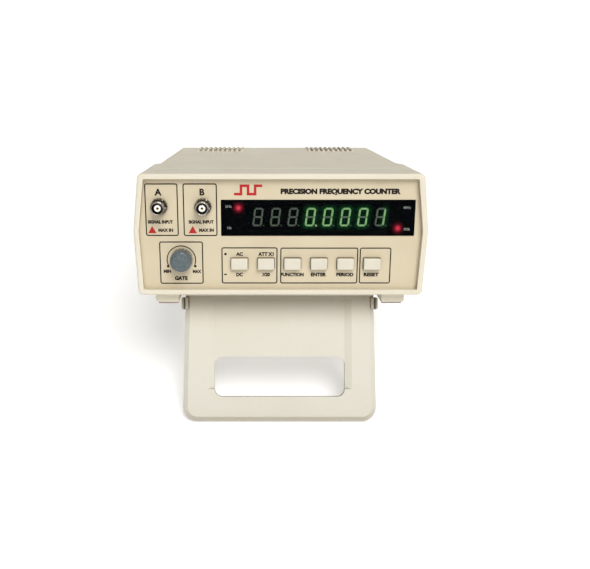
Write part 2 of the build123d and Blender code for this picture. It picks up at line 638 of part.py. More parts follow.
# ================================================================ push buttons
button_pieces = []
for name, x in zip(BUTTON_NAMES, BUTTON_XS):
    with BuildPart() as cap:
        with BuildSketch(face_plane(BUTTON_BACK)):
            with Locations((x, BUTTON_Z)):
                RectangleRounded(BUTTON_WIDTH, BUTTON_HEIGHT, BUTTON_CORNER)
        extrude(amount=BUTTON_BACK - PANEL_Y + BUTTON_PROUD)
        fillet(faces().sort_by(Axis.Y)[0].edges(), radius=BUTTON_EDGE)
        with BuildSketch(face_plane(BUTTON_FLANGE_Y)):
            with Locations((x, BUTTON_Z)):
                Rectangle(BUTTON_WIDTH + 2 * BUTTON_FLANGE, BUTTON_HEIGHT + 2 * BUTTON_FLANGE)
        extrude(amount=-BUTTON_FLANGE)
        with BuildSketch(face_plane(PLUNGER_FRONT)):
            with Locations((x, BUTTON_Z)):
                Rectangle(PLUNGER_SIDE, PLUNGER_SIDE)
        extrude(amount=PLUNGER_FRONT - BUTTON_BACK, mode=Mode.SUBTRACT)
    cap.part.label = f"{name}_button"
    with BuildPart() as plunger:
        with BuildSketch(face_plane(PLUNGER_FRONT)):
            with Locations((x, BUTTON_Z)):
                Rectangle(PLUNGER_SIDE, PLUNGER_SIDE)
        extrude(amount=PLUNGER_FRONT - PLUNGER_BACK)
    plunger.part.label = f"{name}_plunger"
    button_pieces += [cap, plunger]

with BuildPart() as switch_housings:
    with BuildSketch(face_plane(SWITCH_Y)):
        with Locations(*[(x, BUTTON_Z) for x in BUTTON_XS]):
            Rectangle(SWITCH_SIZE[0], SWITCH_SIZE[2])
    extrude(amount=-SWITCH_SIZE[1])
    with BuildSketch(face_plane(SWITCH_Y)):
        with Locations(*[(x, BUTTON_Z) for x in BUTTON_XS]):
            Rectangle(PLUNGER_SIDE + 2 * PLUNGER_CLEARANCE, PLUNGER_SIDE + 2 * PLUNGER_CLEARANCE)
    extrude(amount=SWITCH_Y - SWITCH_BORE_END, mode=Mode.SUBTRACT)
switch_housings.part.label = "switch_housings"

# ================================================================ channel sockets
socket_pieces = []
barrel_tip = PANEL_Y - BARREL_PROUD
for channel, x in SOCKET_XS.items():
    turning = Plane((x, 0, SOCKET_Z))
    centre = Axis((x, 0, SOCKET_Z), (0, 1, 0))
    with BuildPart() as barrel:
        with BuildSketch(turning):
            Polygon(
                (BARREL_BORE, barrel_tip), (BARREL_RADIUS, barrel_tip), (BARREL_RADIUS, THREAD_START),
                (THREAD_RADIUS, THREAD_START), (THREAD_RADIUS, PANEL_BACK), (BACK_FLANGE_RADIUS, PANEL_BACK),
                (BACK_FLANGE_RADIUS, PANEL_BACK + BACK_FLANGE), (THREAD_RADIUS, PANEL_BACK + BACK_FLANGE),
                (THREAD_RADIUS, BARREL_BACK), (INSULATOR_RADIUS, BARREL_BACK),
                (INSULATOR_RADIUS, BARREL_FLOOR), (BARREL_BORE, BARREL_FLOOR), align=None,
            )
        revolve(axis=centre)
        for side in (-1, 1):
            with BuildSketch(Plane.YZ.offset(x + side * LUG_ROOT)):
                with Locations((barrel_tip + LUG_SET_BACK, SOCKET_Z)):
                    Circle(LUG_RADIUS)
            extrude(amount=side * (LUG_REACH - LUG_ROOT))
    barrel.part.label = f"socket_{channel}_barrel"
    with BuildPart() as insulator:
        with BuildSketch(face_plane(barrel_tip + INSULATOR_SET_BACK)):
            with Locations((x, SOCKET_Z)):
                Circle(INSULATOR_RADIUS)
                Circle(CONTACT_RADIUS, mode=Mode.SUBTRACT)
        extrude(amount=barrel_tip + INSULATOR_SET_BACK - BARREL_BACK)
    insulator.part.label = f"socket_{channel}_insulator"
    with BuildPart() as contact:
        with BuildSketch(face_plane(barrel_tip + CONTACT_SET_BACK)):
            with Locations((x, SOCKET_Z)):
                Circle(CONTACT_RADIUS)
        extrude(amount=barrel_tip + CONTACT_SET_BACK - BARREL_BACK - CONTACT_TAIL)
        with BuildSketch(face_plane(barrel_tip + CONTACT_SET_BACK)):
            with Locations((x, SOCKET_Z)):
                Circle(CONTACT_BORE)
        extrude(amount=-CONTACT_BORE_DEPTH, mode=Mode.SUBTRACT)
    contact.part.label = f"socket_{channel}_contact"
    socket_pieces += [barrel, insulator, contact]

with BuildPart() as socket_nuts:
    with BuildSketch(face_plane(PANEL_Y - WASHER_THICKNESS)):
        with Locations(*[(x, SOCKET_Z) for x in SOCKET_XS.values()]):
            RegularPolygon(NUT_FLATS / 2, 6, major_radius=False)
            Circle(THREAD_RADIUS, mode=Mode.SUBTRACT)
    extrude(amount=NUT_THICKNESS)
socket_nuts.part.label = "socket_nuts"

with BuildPart() as socket_washers:
    with BuildSketch(face_plane(PANEL_Y)):
        with Locations(*[(x, SOCKET_Z) for x in SOCKET_XS.values()]):
            Circle(WASHER_RADIUS)
            Circle(THREAD_RADIUS, mode=Mode.SUBTRACT)
    extrude(amount=WASHER_THICKNESS)
socket_washers.part.label = "socket_washers"

# ================================================================ display
display_pieces = []
for index, word in enumerate(["left", "right"]):
    with BuildPart() as digits:
        with BuildSketch(face_plane(MODULE_Y)):
            with Locations((DISPLAY_X + (index - 0.5) * DIGITS_PER_MODULE * DIGIT_PITCH, DISPLAY_Z)):
                Rectangle(MODULE_SIZE[0], MODULE_SIZE[2])
        extrude(amount=-MODULE_SIZE[1])
    digits.part.label = f"digit_module_{word}"
    display_pieces.append(digits)

display_board_y = MODULE_Y + MODULE_SIZE[1]
with BuildPart() as indicator_lamps:
    for x, z in LAMP_SPOTS:
        with BuildSketch(Plane((x, 0, z))):
            with BuildLine():
                Polyline((0, display_board_y), (LAMP_RADIUS, display_board_y), (LAMP_RADIUS, LAMP_DOME_Y))
                RadiusArc((LAMP_RADIUS, LAMP_DOME_Y), (0, LAMP_DOME_Y - LAMP_RADIUS), LAMP_RADIUS)
                Line((0, LAMP_DOME_Y - LAMP_RADIUS), (0, display_board_y))
            make_face()
        revolve(axis=Axis((x, 0, z), (0, 1, 0)))
indicator_lamps.part.label = "indicator_lamps"

with BuildPart() as display_board:
    with BuildSketch(face_plane(display_board_y)):
        with Locations((WINDOW_X, WINDOW_Z)):
            Rectangle(WINDOW_WIDTH, DISPLAY_BOARD_HEIGHT)
    extrude(amount=-BOARD_THICKNESS)
display_board.part.label = "display_board"

# ================================================================ rear fittings
inlet_mouth = REAR_PANEL_BACK + FLANGE_THICKNESS
with BuildPart() as inlet_blades:
    with BuildSketch(face_plane(inlet_mouth - BLADE_SET_BACK)):
        with Locations(*[(INLET_X + dx, INLET_Z + dz) for dx, dz in BLADE_SPOTS]):
            Rectangle(*BLADE_SIZE)
    extrude(amount=FLANGE_THICKNESS - BLADE_SET_BACK + INLET_DEPTH + BLADE_TAIL)
inlet_blades.part.label = "inlet_blades"

with BuildPart() as mains_inlet:
    with BuildSketch(face_plane(REAR_PANEL_BACK)):
        with Locations((INLET_X, INLET_Z)):
            RectangleRounded(*INLET_FLANGE, INLET_CORNER)
    extrude(amount=-FLANGE_THICKNESS)
    with BuildSketch(face_plane(REAR_PANEL_BACK)):
        with Locations((INLET_X, INLET_Z)):
            Rectangle(*INLET_BODY)
    extrude(amount=INLET_DEPTH)
    with BuildSketch(face_plane(inlet_mouth)):
        with Locations((INLET_X, INLET_Z)):
            Rectangle(*INLET_CAVITY)
        chamfer(vertices().group_by(Axis.Y)[-1], length=INLET_KEY)
    extrude(amount=INLET_CAVITY_DEPTH, mode=Mode.SUBTRACT)
    add(inlet_blades.part, mode=Mode.SUBTRACT)
mains_inlet.part.label = "mains_inlet"

with BuildPart() as power_switch:
    with BuildSketch(face_plane(REAR_PANEL_BACK)):
        with Locations((ROCKER_X, ROCKER_Z)):
            RectangleRounded(*ROCKER_BEZEL, ROCKER_BEZEL_CORNER)
    extrude(amount=-FLANGE_THICKNESS)
    with BuildSketch(face_plane(REAR_PANEL_BACK)):
        with Locations((ROCKER_X, ROCKER_Z)):
            Rectangle(*ROCKER_BODY)
    extrude(amount=ROCKER_DEPTH)
    with BuildSketch(face_plane(REAR_PANEL_BACK + FLANGE_THICKNESS)):
        with Locations((ROCKER_X, ROCKER_Z)):
            Rectangle(ROCKER_KEY[0] + 2 * ROCKER_WELL_GAP[0], ROCKER_KEY[1] + 2 * ROCKER_WELL_GAP[1])
    extrude(amount=FLANGE_THICKNESS + ROCKER_WELL, mode=Mode.SUBTRACT)
power_switch.part.label = "power_switch"

rocker_axis_y = REAR_PANEL_BACK + FLANGE_THICKNESS - ROCKER_PIVOT_DEPTH
rocker_lean = radians(ROCKER_TILT)
rocker_plane = Plane(
    origin=(ROCKER_X - ROCKER_KEY[0] / 2, rocker_axis_y, ROCKER_Z),
    x_dir=(0, cos(rocker_lean), sin(rocker_lean)), z_dir=(1, 0, 0),
)
with BuildPart() as power_rocker:
    with BuildSketch(rocker_plane):
        half_key = ROCKER_KEY[1] / 2
        Polygon(
            (ROCKER_PIVOT_DEPTH + ROCKER_RISE, half_key), (ROCKER_PIVOT_DEPTH, 0),
            (ROCKER_PIVOT_DEPTH + ROCKER_RISE, -half_key), (0, ROCKER_END_INSET - half_key),
            (-ROCKER_HEEL, -ROCKER_HEEL), (-ROCKER_HEEL, ROCKER_HEEL),
            (0, half_key - ROCKER_END_INSET), align=None,
        )
    extrude(amount=ROCKER_KEY[0])
power_rocker.part.label = "power_rocker"

with BuildPart() as fuse_holder:
    with BuildSketch(face_plane(REAR_PANEL_BACK)):
        with Locations((FUSE_X, FUSE_Z)):
            Circle(FUSE_FLANGE_RADIUS)
    extrude(amount=-FLANGE_THICKNESS)
    with BuildSketch(face_plane(REAR_PANEL_BACK)):
        with Locations((FUSE_X, FUSE_Z)):
            Circle(FUSE_BODY_RADIUS)
    extrude(amount=FUSE_HOLDER_DEPTH)
    with BuildSketch(face_plane(REAR_PANEL_BACK + FLANGE_THICKNESS)):
        with Locations((FUSE_X, FUSE_Z)):
            Circle(FUSE_BORE)
    extrude(amount=FLANGE_THICKNESS + FUSE_HOLDER_DEPTH - FUSE_HOLDER_FLOOR, mode=Mode.SUBTRACT)
fuse_holder.part.label = "fuse_holder"

cap_back = REAR_PANEL_BACK + FLANGE_THICKNESS + FUSE_CAP_GAP
with BuildPart() as fuse_cap:
    with BuildSketch(face_plane(cap_back)):
        with Locations((FUSE_X, FUSE_Z)):
            Circle(FUSE_CAP_RADIUS)
    extrude(amount=-FUSE_CAP_PROUD)
    chamfer(faces().sort_by(Axis.Y)[-1].edges(), length=FUSE_CAP_CHAMFER)
    with BuildSketch(face_plane(cap_back + FUSE_CAP_PROUD)):
        with Locations((FUSE_X, FUSE_Z)):
            Rectangle(*FUSE_CAP_SLOT)
    extrude(amount=FUSE_CAP_SLOT_DEPTH, mode=Mode.SUBTRACT)
    with BuildSketch(face_plane(cap_back)):
        with Locations((FUSE_X, FUSE_Z)):
            Circle(FUSE_BORE - SPIGOT_CLEARANCE)
    extrude(amount=SPIGOT_LENGTH)
fuse_cap.part.label = "fuse_cap"

with BuildPart() as fuse:
    fuse_start = cap_back - SPIGOT_LENGTH - FUSE_LENGTH
    with BuildSketch(Plane((FUSE_X, 0, FUSE_Z))):
        Polygon(
            (0, fuse_start), (FUSE_RADIUS, fuse_start), (FUSE_RADIUS, fuse_start + FUSE_CAP_LENGTH),
            (FUSE_GLASS_RADIUS, fuse_start + FUSE_CAP_LENGTH),
            (FUSE_GLASS_RADIUS, fuse_start + FUSE_LENGTH - FUSE_CAP_LENGTH),
            (FUSE_RADIUS, fuse_start + FUSE_LENGTH - FUSE_CAP_LENGTH),
            (FUSE_RADIUS, fuse_start + FUSE_LENGTH), (0, fuse_start + FUSE_LENGTH), align=None,
        )
    revolve(axis=Axis((FUSE_X, 0, FUSE_Z), (0, 1, 0)))
fuse.part.label = "fuse"

# ================================================================ boards and power
with BuildPart() as main_board:
    with BuildSketch(Plane.XY.offset(MAIN_BOARD_TOP)):
        with Locations((0, (MAIN_BOARD_Y[0] + MAIN_BOARD_Y[1]) / 2)):
            Rectangle(2 * MAIN_BOARD_HALF, MAIN_BOARD_Y[1] - MAIN_BOARD_Y[0])
        with Locations(*STANDOFF_SPOTS):
            Circle(SCREW_RADIUS, mode=Mode.SUBTRACT)
    extrude(amount=-BOARD_THICKNESS)
main_board.part.label = "main_board"

board_blocks = []
for label, (spot, (width, depth, height), corner) in BOARD_BLOCKS.items():
    with BuildPart() as block:
        with BuildSketch(Plane.XY.offset(MAIN_BOARD_TOP)):
            with Locations(spot):
                RectangleRounded(width, depth, corner)
        extrude(amount=height)
        fillet(faces().sort_by(Axis.Z)[-1].edges(), radius=BLOCK_ROUND)
    block.part.label = label
    board_blocks.append(block)

with BuildPart() as mains_transformer:
    with BuildSketch(Plane.XY.offset(MAIN_BOARD_TOP)):
        with Locations(TRANSFORMER_SPOT):
            Rectangle(*TRANSFORMER_CORE[:2])
    extrude(amount=TRANSFORMER_CORE[2])
    with BuildSketch(Plane.XY.offset(MAIN_BOARD_TOP + COIL_RISE)):
        with Locations(TRANSFORMER_SPOT):
            RectangleRounded(*TRANSFORMER_COIL[:2], COIL_CORNER)
    extrude(amount=TRANSFORMER_COIL[2])
mains_transformer.part.label = "mains_transformer"

with BuildPart() as heat_sink:
    with BuildSketch(Plane.XY.offset(MAIN_BOARD_TOP)):
        with Locations(HEAT_SINK_SPOT):
            Rectangle(HEAT_SINK_SIZE[0], HEAT_SINK_BASE)
            with GridLocations(FIN_PITCH, 0, FINS, 1):
                Rectangle(FIN_THICKNESS, HEAT_SINK_SIZE[1])
    extrude(amount=HEAT_SINK_SIZE[2])
heat_sink.part.label = "heat_sink"

with BuildPart() as smoothing_capacitors:
    with BuildSketch(Plane.XY.offset(MAIN_BOARD_TOP)):
        with Locations(*CAPACITOR_SPOTS):
            Circle(CAPACITOR_RADIUS)
    extrude(amount=CAPACITOR_HEIGHT)
    fillet(faces().filter_by(Axis.Z).group_by(Axis.Z)[-1].edges(), radius=CAPACITOR_ROUND)
smoothing_capacitors.part.label = "smoothing_capacitors"

with BuildPart() as ribbon_cable:
    with BuildSketch(Plane.YZ.offset(RIBBON_X - RIBBON_WIDTH / 2)):
        with BuildLine():
            FilletPolyline(
                (display_board_y + BOARD_THICKNESS, RIBBON_Z), (RIBBON_TURN_Y, RIBBON_Z),
                (RIBBON_TURN_Y, MAIN_BOARD_TOP), radius=RIBBON_BEND,
            )
        trace(line_width=RIBBON_THICKNESS)
    extrude(amount=RIBBON_WIDTH)
ribbon_cable.part.label = "ribbon_cable"

can_top = MAIN_BOARD_TOP + BOARD_BLOCKS["screening_can"][1][2]
with BuildPart() as input_leads:
    for x, landing in zip(SOCKET_XS.values(), LEAD_LANDINGS):
        lead_start = (x, BARREL_BACK + CONTACT_TAIL, SOCKET_Z)
        with BuildLine() as route:
            FilletPolyline(
                lead_start, (x, LEAD_TURN_Y, SOCKET_Z), (landing, LEAD_TURN_Y, LEAD_DIP_Z),
                (landing, LEAD_TURN_Y, can_top), radius=LEAD_BEND,
            )
        with BuildSketch(face_plane(BARREL_BACK + CONTACT_TAIL)):
            with Locations((x, SOCKET_Z)):
                Circle(LEAD_RADIUS)
        sweep(path=route.wires()[0])
input_leads.part.label = "input_leads"

# ================================================================ screws
with BuildPart() as case_screws:
    with BuildSketch(Plane.XY.offset(SCREW_SINK - SCREW_HEAD_HEIGHT)):
        with Locations(*POST_SPOTS):
            Circle(SCREW_HEAD_RADIUS)
    extrude(amount=SCREW_HEAD_HEIGHT)
    with BuildSketch(Plane.XY.offset(SCREW_SINK)):
        with Locations(*POST_SPOTS):
            Circle(SCREW_RADIUS)
    extrude(amount=POST_SPLIT_Z + CASE_SCREW_GRIP - SCREW_SINK)
case_screws.part.label = "case_screws"

with BuildPart() as board_screws:
    with BuildSketch(Plane.XY.offset(MAIN_BOARD_TOP)):
        with Locations(*STANDOFF_SPOTS):
            Circle(SCREW_HEAD_RADIUS)
    extrude(amount=SCREW_HEAD_HEIGHT)
    with BuildSketch(Plane.XY.offset(MAIN_BOARD_TOP)):
        with Locations(*STANDOFF_SPOTS):
            Circle(SCREW_RADIUS)
    extrude(amount=-BOARD_SCREW_LENGTH)
board_screws.part.label = "board_screws"

# ================================================================ standing placement
pieces = [
    front_frame, top_cover, bottom_cover, front_panel, display_window, rear_panel, *feet, foot_pads,
    bail_stand, gate_knob, gate_shaft, gate_potentiometer, potentiometer_nut, *button_pieces,
    switch_housings, *socket_pieces, socket_nuts, socket_washers, *display_pieces, indicator_lamps,
    display_board, mains_inlet, inlet_blades, power_switch, power_rocker, fuse_holder, fuse_cap, fuse,
    main_board, *board_blocks, mains_transformer, heat_sink, smoothing_capacitors, ribbon_cable,
    input_leads, case_screws, board_screws,
]
bail_edge_y = PIVOT_Y - sin(lean) * BAIL_LENGTH + cos(lean) * BAIL_THICKNESS / 2
bail_edge_z = PIVOT_Z - cos(lean) * BAIL_LENGTH - sin(lean) * BAIL_THICKNESS / 2
rear_edge_y = REAR_FOOT_Y[1] - PAD_MARGIN
rear_edge_z = -FOOT_HEIGHT - PAD_THICKNESS
stand_tilt = degrees(atan2(rear_edge_z - bail_edge_z, rear_edge_y - bail_edge_y))
tilted = Location((0, 0, 0), (-stand_tilt, 0, 0))
boxes = [piece.part.moved(tilted).bounding_box() for piece in pieces]
front = min(box.min.Y for box in boxes)
back = max(box.max.Y for box in boxes)
floor = min(box.min.Z for box in boxes)
standing = Location((0, -(front + back) / 2, -floor)) * tilted

os.makedirs("parts", exist_ok=True)
for piece in pieces:
    export_step(piece.part.moved(standing), f"parts/{piece.part.label}.step")
print(f"{len(pieces)} pieces, tilted {stand_tilt:.3f} degrees, {-floor:.3f} mm up")
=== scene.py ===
"""Bench frequency counter leaning back on its folding bail.

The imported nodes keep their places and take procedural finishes. Printed lettering, the lit display,
the turned sockets, the fluted knob, screw recesses and other fine pieces are built here, in the
counter's own level axes in millimetres: X to the right, Y rearwards from the front lip, Z up from
the underside.
"""

import json
import logging
import math
from dataclasses import dataclass
from enum import Enum
from typing import Callable, Iterable, Sequence

import bmesh
import bpy
from mathutils import Matrix, Vector


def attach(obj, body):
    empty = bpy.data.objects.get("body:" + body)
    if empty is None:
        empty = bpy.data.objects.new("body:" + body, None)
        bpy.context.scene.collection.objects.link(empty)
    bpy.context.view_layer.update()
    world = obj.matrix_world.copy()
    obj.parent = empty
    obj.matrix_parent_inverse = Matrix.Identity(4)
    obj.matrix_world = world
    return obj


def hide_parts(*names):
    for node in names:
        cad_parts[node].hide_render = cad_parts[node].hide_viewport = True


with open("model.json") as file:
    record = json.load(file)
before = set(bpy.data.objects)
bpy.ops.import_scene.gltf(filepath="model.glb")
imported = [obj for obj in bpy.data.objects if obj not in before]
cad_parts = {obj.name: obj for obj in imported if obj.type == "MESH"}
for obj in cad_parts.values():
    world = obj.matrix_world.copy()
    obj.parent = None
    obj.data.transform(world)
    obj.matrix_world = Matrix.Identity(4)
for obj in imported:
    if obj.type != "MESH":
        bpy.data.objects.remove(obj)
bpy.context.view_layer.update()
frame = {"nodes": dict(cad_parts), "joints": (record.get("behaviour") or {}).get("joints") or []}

MM = 0.001
PIVOT_LEVEL = Vector((0.0, 25.0, -4.3))     # the bail's pivot in the level axes
AXIS_HOLE = 0.02                            # least radius of a turned end, in place of a single point
WEAR_AND_HIGHLIGHT_LIGHTER = 1.12                       # how much lighter a moulding is on its edges, from wear and a painted highlight
WEAR_AND_HIGHLIGHT_SHARE = 0.5                          # share of that tone on a worn and highlit edge
PAINTED_SHADE_SHARES = (0.42, 0.36, 0.28)           # parts of red, green and blue that the painted shade in corners leaves
PAINTED_HOLLOW_SHADE = (0.02, 0.018, 0.016)              # colour of the painted shade in a plated part's hollows
PAINTED_HOLLOW_SHADE_REACH = 4.0
DUSTY = 1.5                                 # how much lighter a clear sheet is under dust
KEY_NAMES = ("coupling", "attenuator", "function", "enter", "period", "reset")
LOG = logging.getLogger("counter")
Point = tuple[float, float]
Colour = tuple[float, float, float]
Socket = bpy.types.NodeSocket


def joint_named(name: str) -> dict:
    """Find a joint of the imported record.

    Args:
        name: the joint's name.

    Returns:
        The joint's own block.
    """
    return next(joint for joint in frame["joints"] if joint["name"] == name)


class LevelAxes:
    """The counter's level axes, in millimetres, and where they stand in the row frame."""

    def __init__(self) -> None:
        """Read the lean from a key's travel and the place from the bail's pivot."""
        travel = joint_named("function_press")["axis"]
        self.lean = math.atan2(-travel[2], travel[1])
        pivot = Vector(joint_named("bail_fold")["pos_m"])
        turn = Matrix.Rotation(-self.lean, 4, "X")
        self.matrix = (
            Matrix.Translation(pivot) @ turn @ Matrix.Scale(MM, 4) @ Matrix.Translation(-PIVOT_LEVEL)
        )
        self.inverse = self.matrix.inverted()

    def box(self, node: str) -> tuple[Vector, Vector]:
        """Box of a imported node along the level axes.

        Args:
            node: the node's name.

        Returns:
            Its lowest and highest corner, in millimetres.
        """
        points = [self.inverse @ vertex.co for vertex in frame["nodes"][node].data.vertices]
        low = Vector([min(point[axis] for point in points) for axis in range(3)])
        high = Vector([max(point[axis] for point in points) for axis in range(3)])
        return low, high

    def centre(self, node: str) -> Vector:
        """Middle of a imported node's level box."""
        low, high = self.box(node)
        return (low + high) / 2


LEVEL = LevelAxes()


class Body(Enum):
    """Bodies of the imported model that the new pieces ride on."""

    CASE = "case"
    GATE = "gate_control"
    ROCKER = "rocker"


# ------------------------------------------------------------------ finishes
class Shader:
    """One material's node tree, with short calls for the nodes that the finishes share."""

    PAINTED_SHADE_SAMPLES = 8
    EDGE_SAMPLES = 4
    OPENNESS = (0.35, 0.95)         # of a corner where the painted shade is deepest, and of a surface with none
    FLATNESS = (0.85, 0.995)        # of an edge that is fully worn and highlit, and of a plain surface

    def __init__(self, name: str) -> None:
        """Start an empty tree with a principled surface and level coordinates in millimetres.

        Args:
            name: the material's name.
        """
        self.material = bpy.data.materials.new(name)
        self.material.use_nodes = True
        self.tree = self.material.node_tree
        self.surface = next(node for node in self.tree.nodes if node.type == "BSDF_PRINCIPLED")
        coordinates = self.tree.nodes.new("ShaderNodeTexCoord")
        scale = self.tree.nodes.new("ShaderNodeMapping")
        scale.inputs["Scale"].default_value = (1 / MM, 1 / MM, 1 / MM)
        scale.inputs["Rotation"].default_value = (LEVEL.lean, 0, 0)
        self.tree.links.new(coordinates.outputs["Object"], scale.inputs["Vector"])
        self.place = scale.outputs["Vector"]

    def set(self, **values: float | Colour) -> None:
        """Set sockets of the principled surface by their names, with _ for a space.

        Args:
            values: each socket's value. Three numbers are a colour, which is made opaque.
        """
        for name, value in values.items():
            socket = self.surface.inputs[name.replace("_", " ")]
            if isinstance(value, tuple) and len(value) == 3:
                value = (*value, 1.0)
            socket.default_value = value

    def link(self, output: Socket, target: Socket | str) -> None:
        """Join a socket to another, or to the surface's socket of that name."""
        self.tree.links.new(output, self.surface.inputs[target] if isinstance(target, str) else target)

    def noise(self, grain: float, detail: float = 3.0, stretch: Sequence[float] = (1, 1, 1)) -> Socket:
        """Noise with features about grain millimetres across.

        Args:
            grain: size of the features, in millimetres.
            detail: octaves of finer noise.
            stretch: how much finer the noise is along each level axis.

        Returns:
            The noise value's socket.
        """
        node = self.tree.nodes.new("ShaderNodeTexNoise")
        mapping = self.tree.nodes.new("ShaderNodeMapping")
        mapping.inputs["Scale"].default_value = tuple(value / grain for value in stretch)
        self.link(self.place, mapping.inputs["Vector"])
        self.link(mapping.outputs["Vector"], node.inputs["Vector"])
        node.inputs["Scale"].default_value = 1.0
        node.inputs["Detail"].default_value = detail
        return node.outputs["Fac"]

    def ramp(self, value: Socket, low: Colour, high: Colour, start: float, end: float) -> Socket:
        """Colour that runs from low to high as value goes from start to end.

        Args:
            value: what drives the colour.
            low: colour at the start.
            high: colour at the end.
            start: value where the run begins.
            end: value where it is complete.

        Returns:
            The colour's socket.
        """
        node = self.tree.nodes.new("ShaderNodeValToRGB")
        for element, position, colour in zip(node.color_ramp.elements, (start, end), (low, high)):
            element.position = position
            element.color = (*colour, 1)
        self.link(value, node.inputs["Fac"])
        return node.outputs["Color"]

    def spread(
        self, value: Socket, low: float, high: float, start: float = 0.3, end: float = 0.7,
    ) -> Socket:
        """Number that runs from low to high as value goes from start to end.

        Args:
            value: what drives the number.
            low: number at the start.
            high: number at the end.
            start: value where the run begins.
            end: value where it is complete.

        Returns:
            The number's socket.
        """
        node = self.tree.nodes.new("ShaderNodeMapRange")
        limits = {"From Min": start, "From Max": end, "To Min": low, "To Max": high}
        for name, limit in limits.items():
            node.inputs[name].default_value = limit
        self.link(value, node.inputs["Value"])
        return node.outputs["Result"]

    def blend(self, share: Socket, first: Socket, second: Colour) -> Socket:
        """Colour that goes from a socket's to a fixed one as share goes from none to one.

        Args:
            share: how much of the fixed colour there is.
            first: the socket whose colour is covered.
            second: the fixed colour.

        Returns:
            The mixed colour's socket.
        """
        node = self.tree.nodes.new("ShaderNodeMixRGB")
        node.inputs["Color2"].default_value = (*second, 1)
        self.link(share, node.inputs["Fac"])
        self.link(first, node.inputs["Color1"])
        return node.outputs["Color"]

    def painted_corner_shade(self, reach: float, most: float) -> Socket:
        """Share of painted shade, which grows where other surfaces close in.

        Args:
            reach: how far off a surface still counts, in millimetres.
            most: share in the deepest corner.

        Returns:
            The share's socket.
        """
        node = self.tree.nodes.new("ShaderNodeAmbientOcclusion")
        node.samples = self.PAINTED_SHADE_SAMPLES
        node.inputs["Distance"].default_value = reach * MM
        return self.spread(node.outputs["AO"], most, 0.0, *self.OPENNESS)

    def worn_and_highlit(self, radius: float, most: float) -> Socket:
        """Share of edge wear and painted highlight, which grows on edges.

        Args:
            radius: radius of the worn and highlit edge, in millimetres.
            most: share on the sharpest edge.

        Returns:
            The share's socket.
        """
        bevel = self.tree.nodes.new("ShaderNodeBevel")
        bevel.samples = self.EDGE_SAMPLES
        bevel.inputs["Radius"].default_value = radius * MM
        geometry = self.tree.nodes.new("ShaderNodeNewGeometry")
        compare = self.tree.nodes.new("ShaderNodeVectorMath")
        compare.operation = "DOT_PRODUCT"
        self.link(bevel.outputs["Normal"], compare.inputs[0])
        self.link(geometry.outputs["Normal"], compare.inputs[1])
        return self.spread(compare.outputs["Value"], most, 0.0, *self.FLATNESS)

    def relief(self, height: Socket, depth: float, edge: float = 0.0) -> None:
        """Bump the surface, and round its sharp edges when edge is more than nothing.

        Args:
            height: the height pattern.
            depth: its depth, in millimetres.
            edge: radius of the rounded edges, in millimetres.
        """
        bump = self.tree.nodes.new("ShaderNodeBump")
        bump.inputs["Strength"].default_value = 1.0
        bump.inputs["Distance"].default_value = depth * MM
        self.link(height, bump.inputs["Height"])
        if edge > 0:
            bevel = self.tree.nodes.new("ShaderNodeBevel")
            bevel.samples = self.EDGE_SAMPLES
            bevel.inputs["Radius"].default_value = edge * MM
            self.link(bevel.outputs["Normal"], bump.inputs["Normal"])
        self.link(bump.outputs["Normal"], "Normal")


@dataclass(frozen=True)
class Moulding:
    """Moulded plastic or rubber: two close tones, a fine spark grain, edges lightened by wear and a painted
    highlight, and painted shade in its corners.

    light and dark are the tones of patches mottle millimetres across. grain and depth are the size and
    depth of the spark grain, edge is the radius of the edges and coat is a share of gloss over the top. The
    field before reach is the deepest share of painted shade, which darkens corners closer than reach.
    """

    name: str
    light: Colour
    dark: Colour
    roughness: tuple[float, float] = (0.42, 0.55)
    grain: float = 0.35
    depth: float = 0.025
    mottle: float = 45.0
    edge: float = 0.35
    coat: float = 0.0
    painted_shade: float = 0.45
    reach: float = 3.0

    def material(self) -> bpy.types.Material:
        """Make the node material.

        Returns:
            The material.
        """
        shader = Shader(self.name)
        tone = shader.ramp(shader.noise(self.mottle, 4.0), self.dark, self.light, 0.3, 0.62)
        # Edges are lightened, partly by wear and partly as a painted highlight.
        worn_and_highlit = tuple(min(1.0, value * WEAR_AND_HIGHLIGHT_LIGHTER) for value in self.light)
        tone = shader.blend(shader.worn_and_highlit(self.edge * 2, WEAR_AND_HIGHLIGHT_SHARE), tone, worn_and_highlit)
        # Corners and surfaces close to other parts are darkened towards a brownish tone: painted shade.
        shade_tone = tuple(value * share for value, share in zip(self.dark, PAINTED_SHADE_SHARES))
        tone = shader.blend(shader.painted_corner_shade(self.reach, self.painted_shade), tone, shade_tone)
        shader.link(tone, "Base Color")
        shader.link(shader.spread(shader.noise(self.mottle / 3), *self.roughness), "Roughness")
        shader.set(Coat_Weight=self.coat, Coat_Roughness=0.25, Specular_IOR_Level=0.35)
        shader.relief(shader.noise(self.grain, 2.0), self.depth, self.edge)
        return shader.material


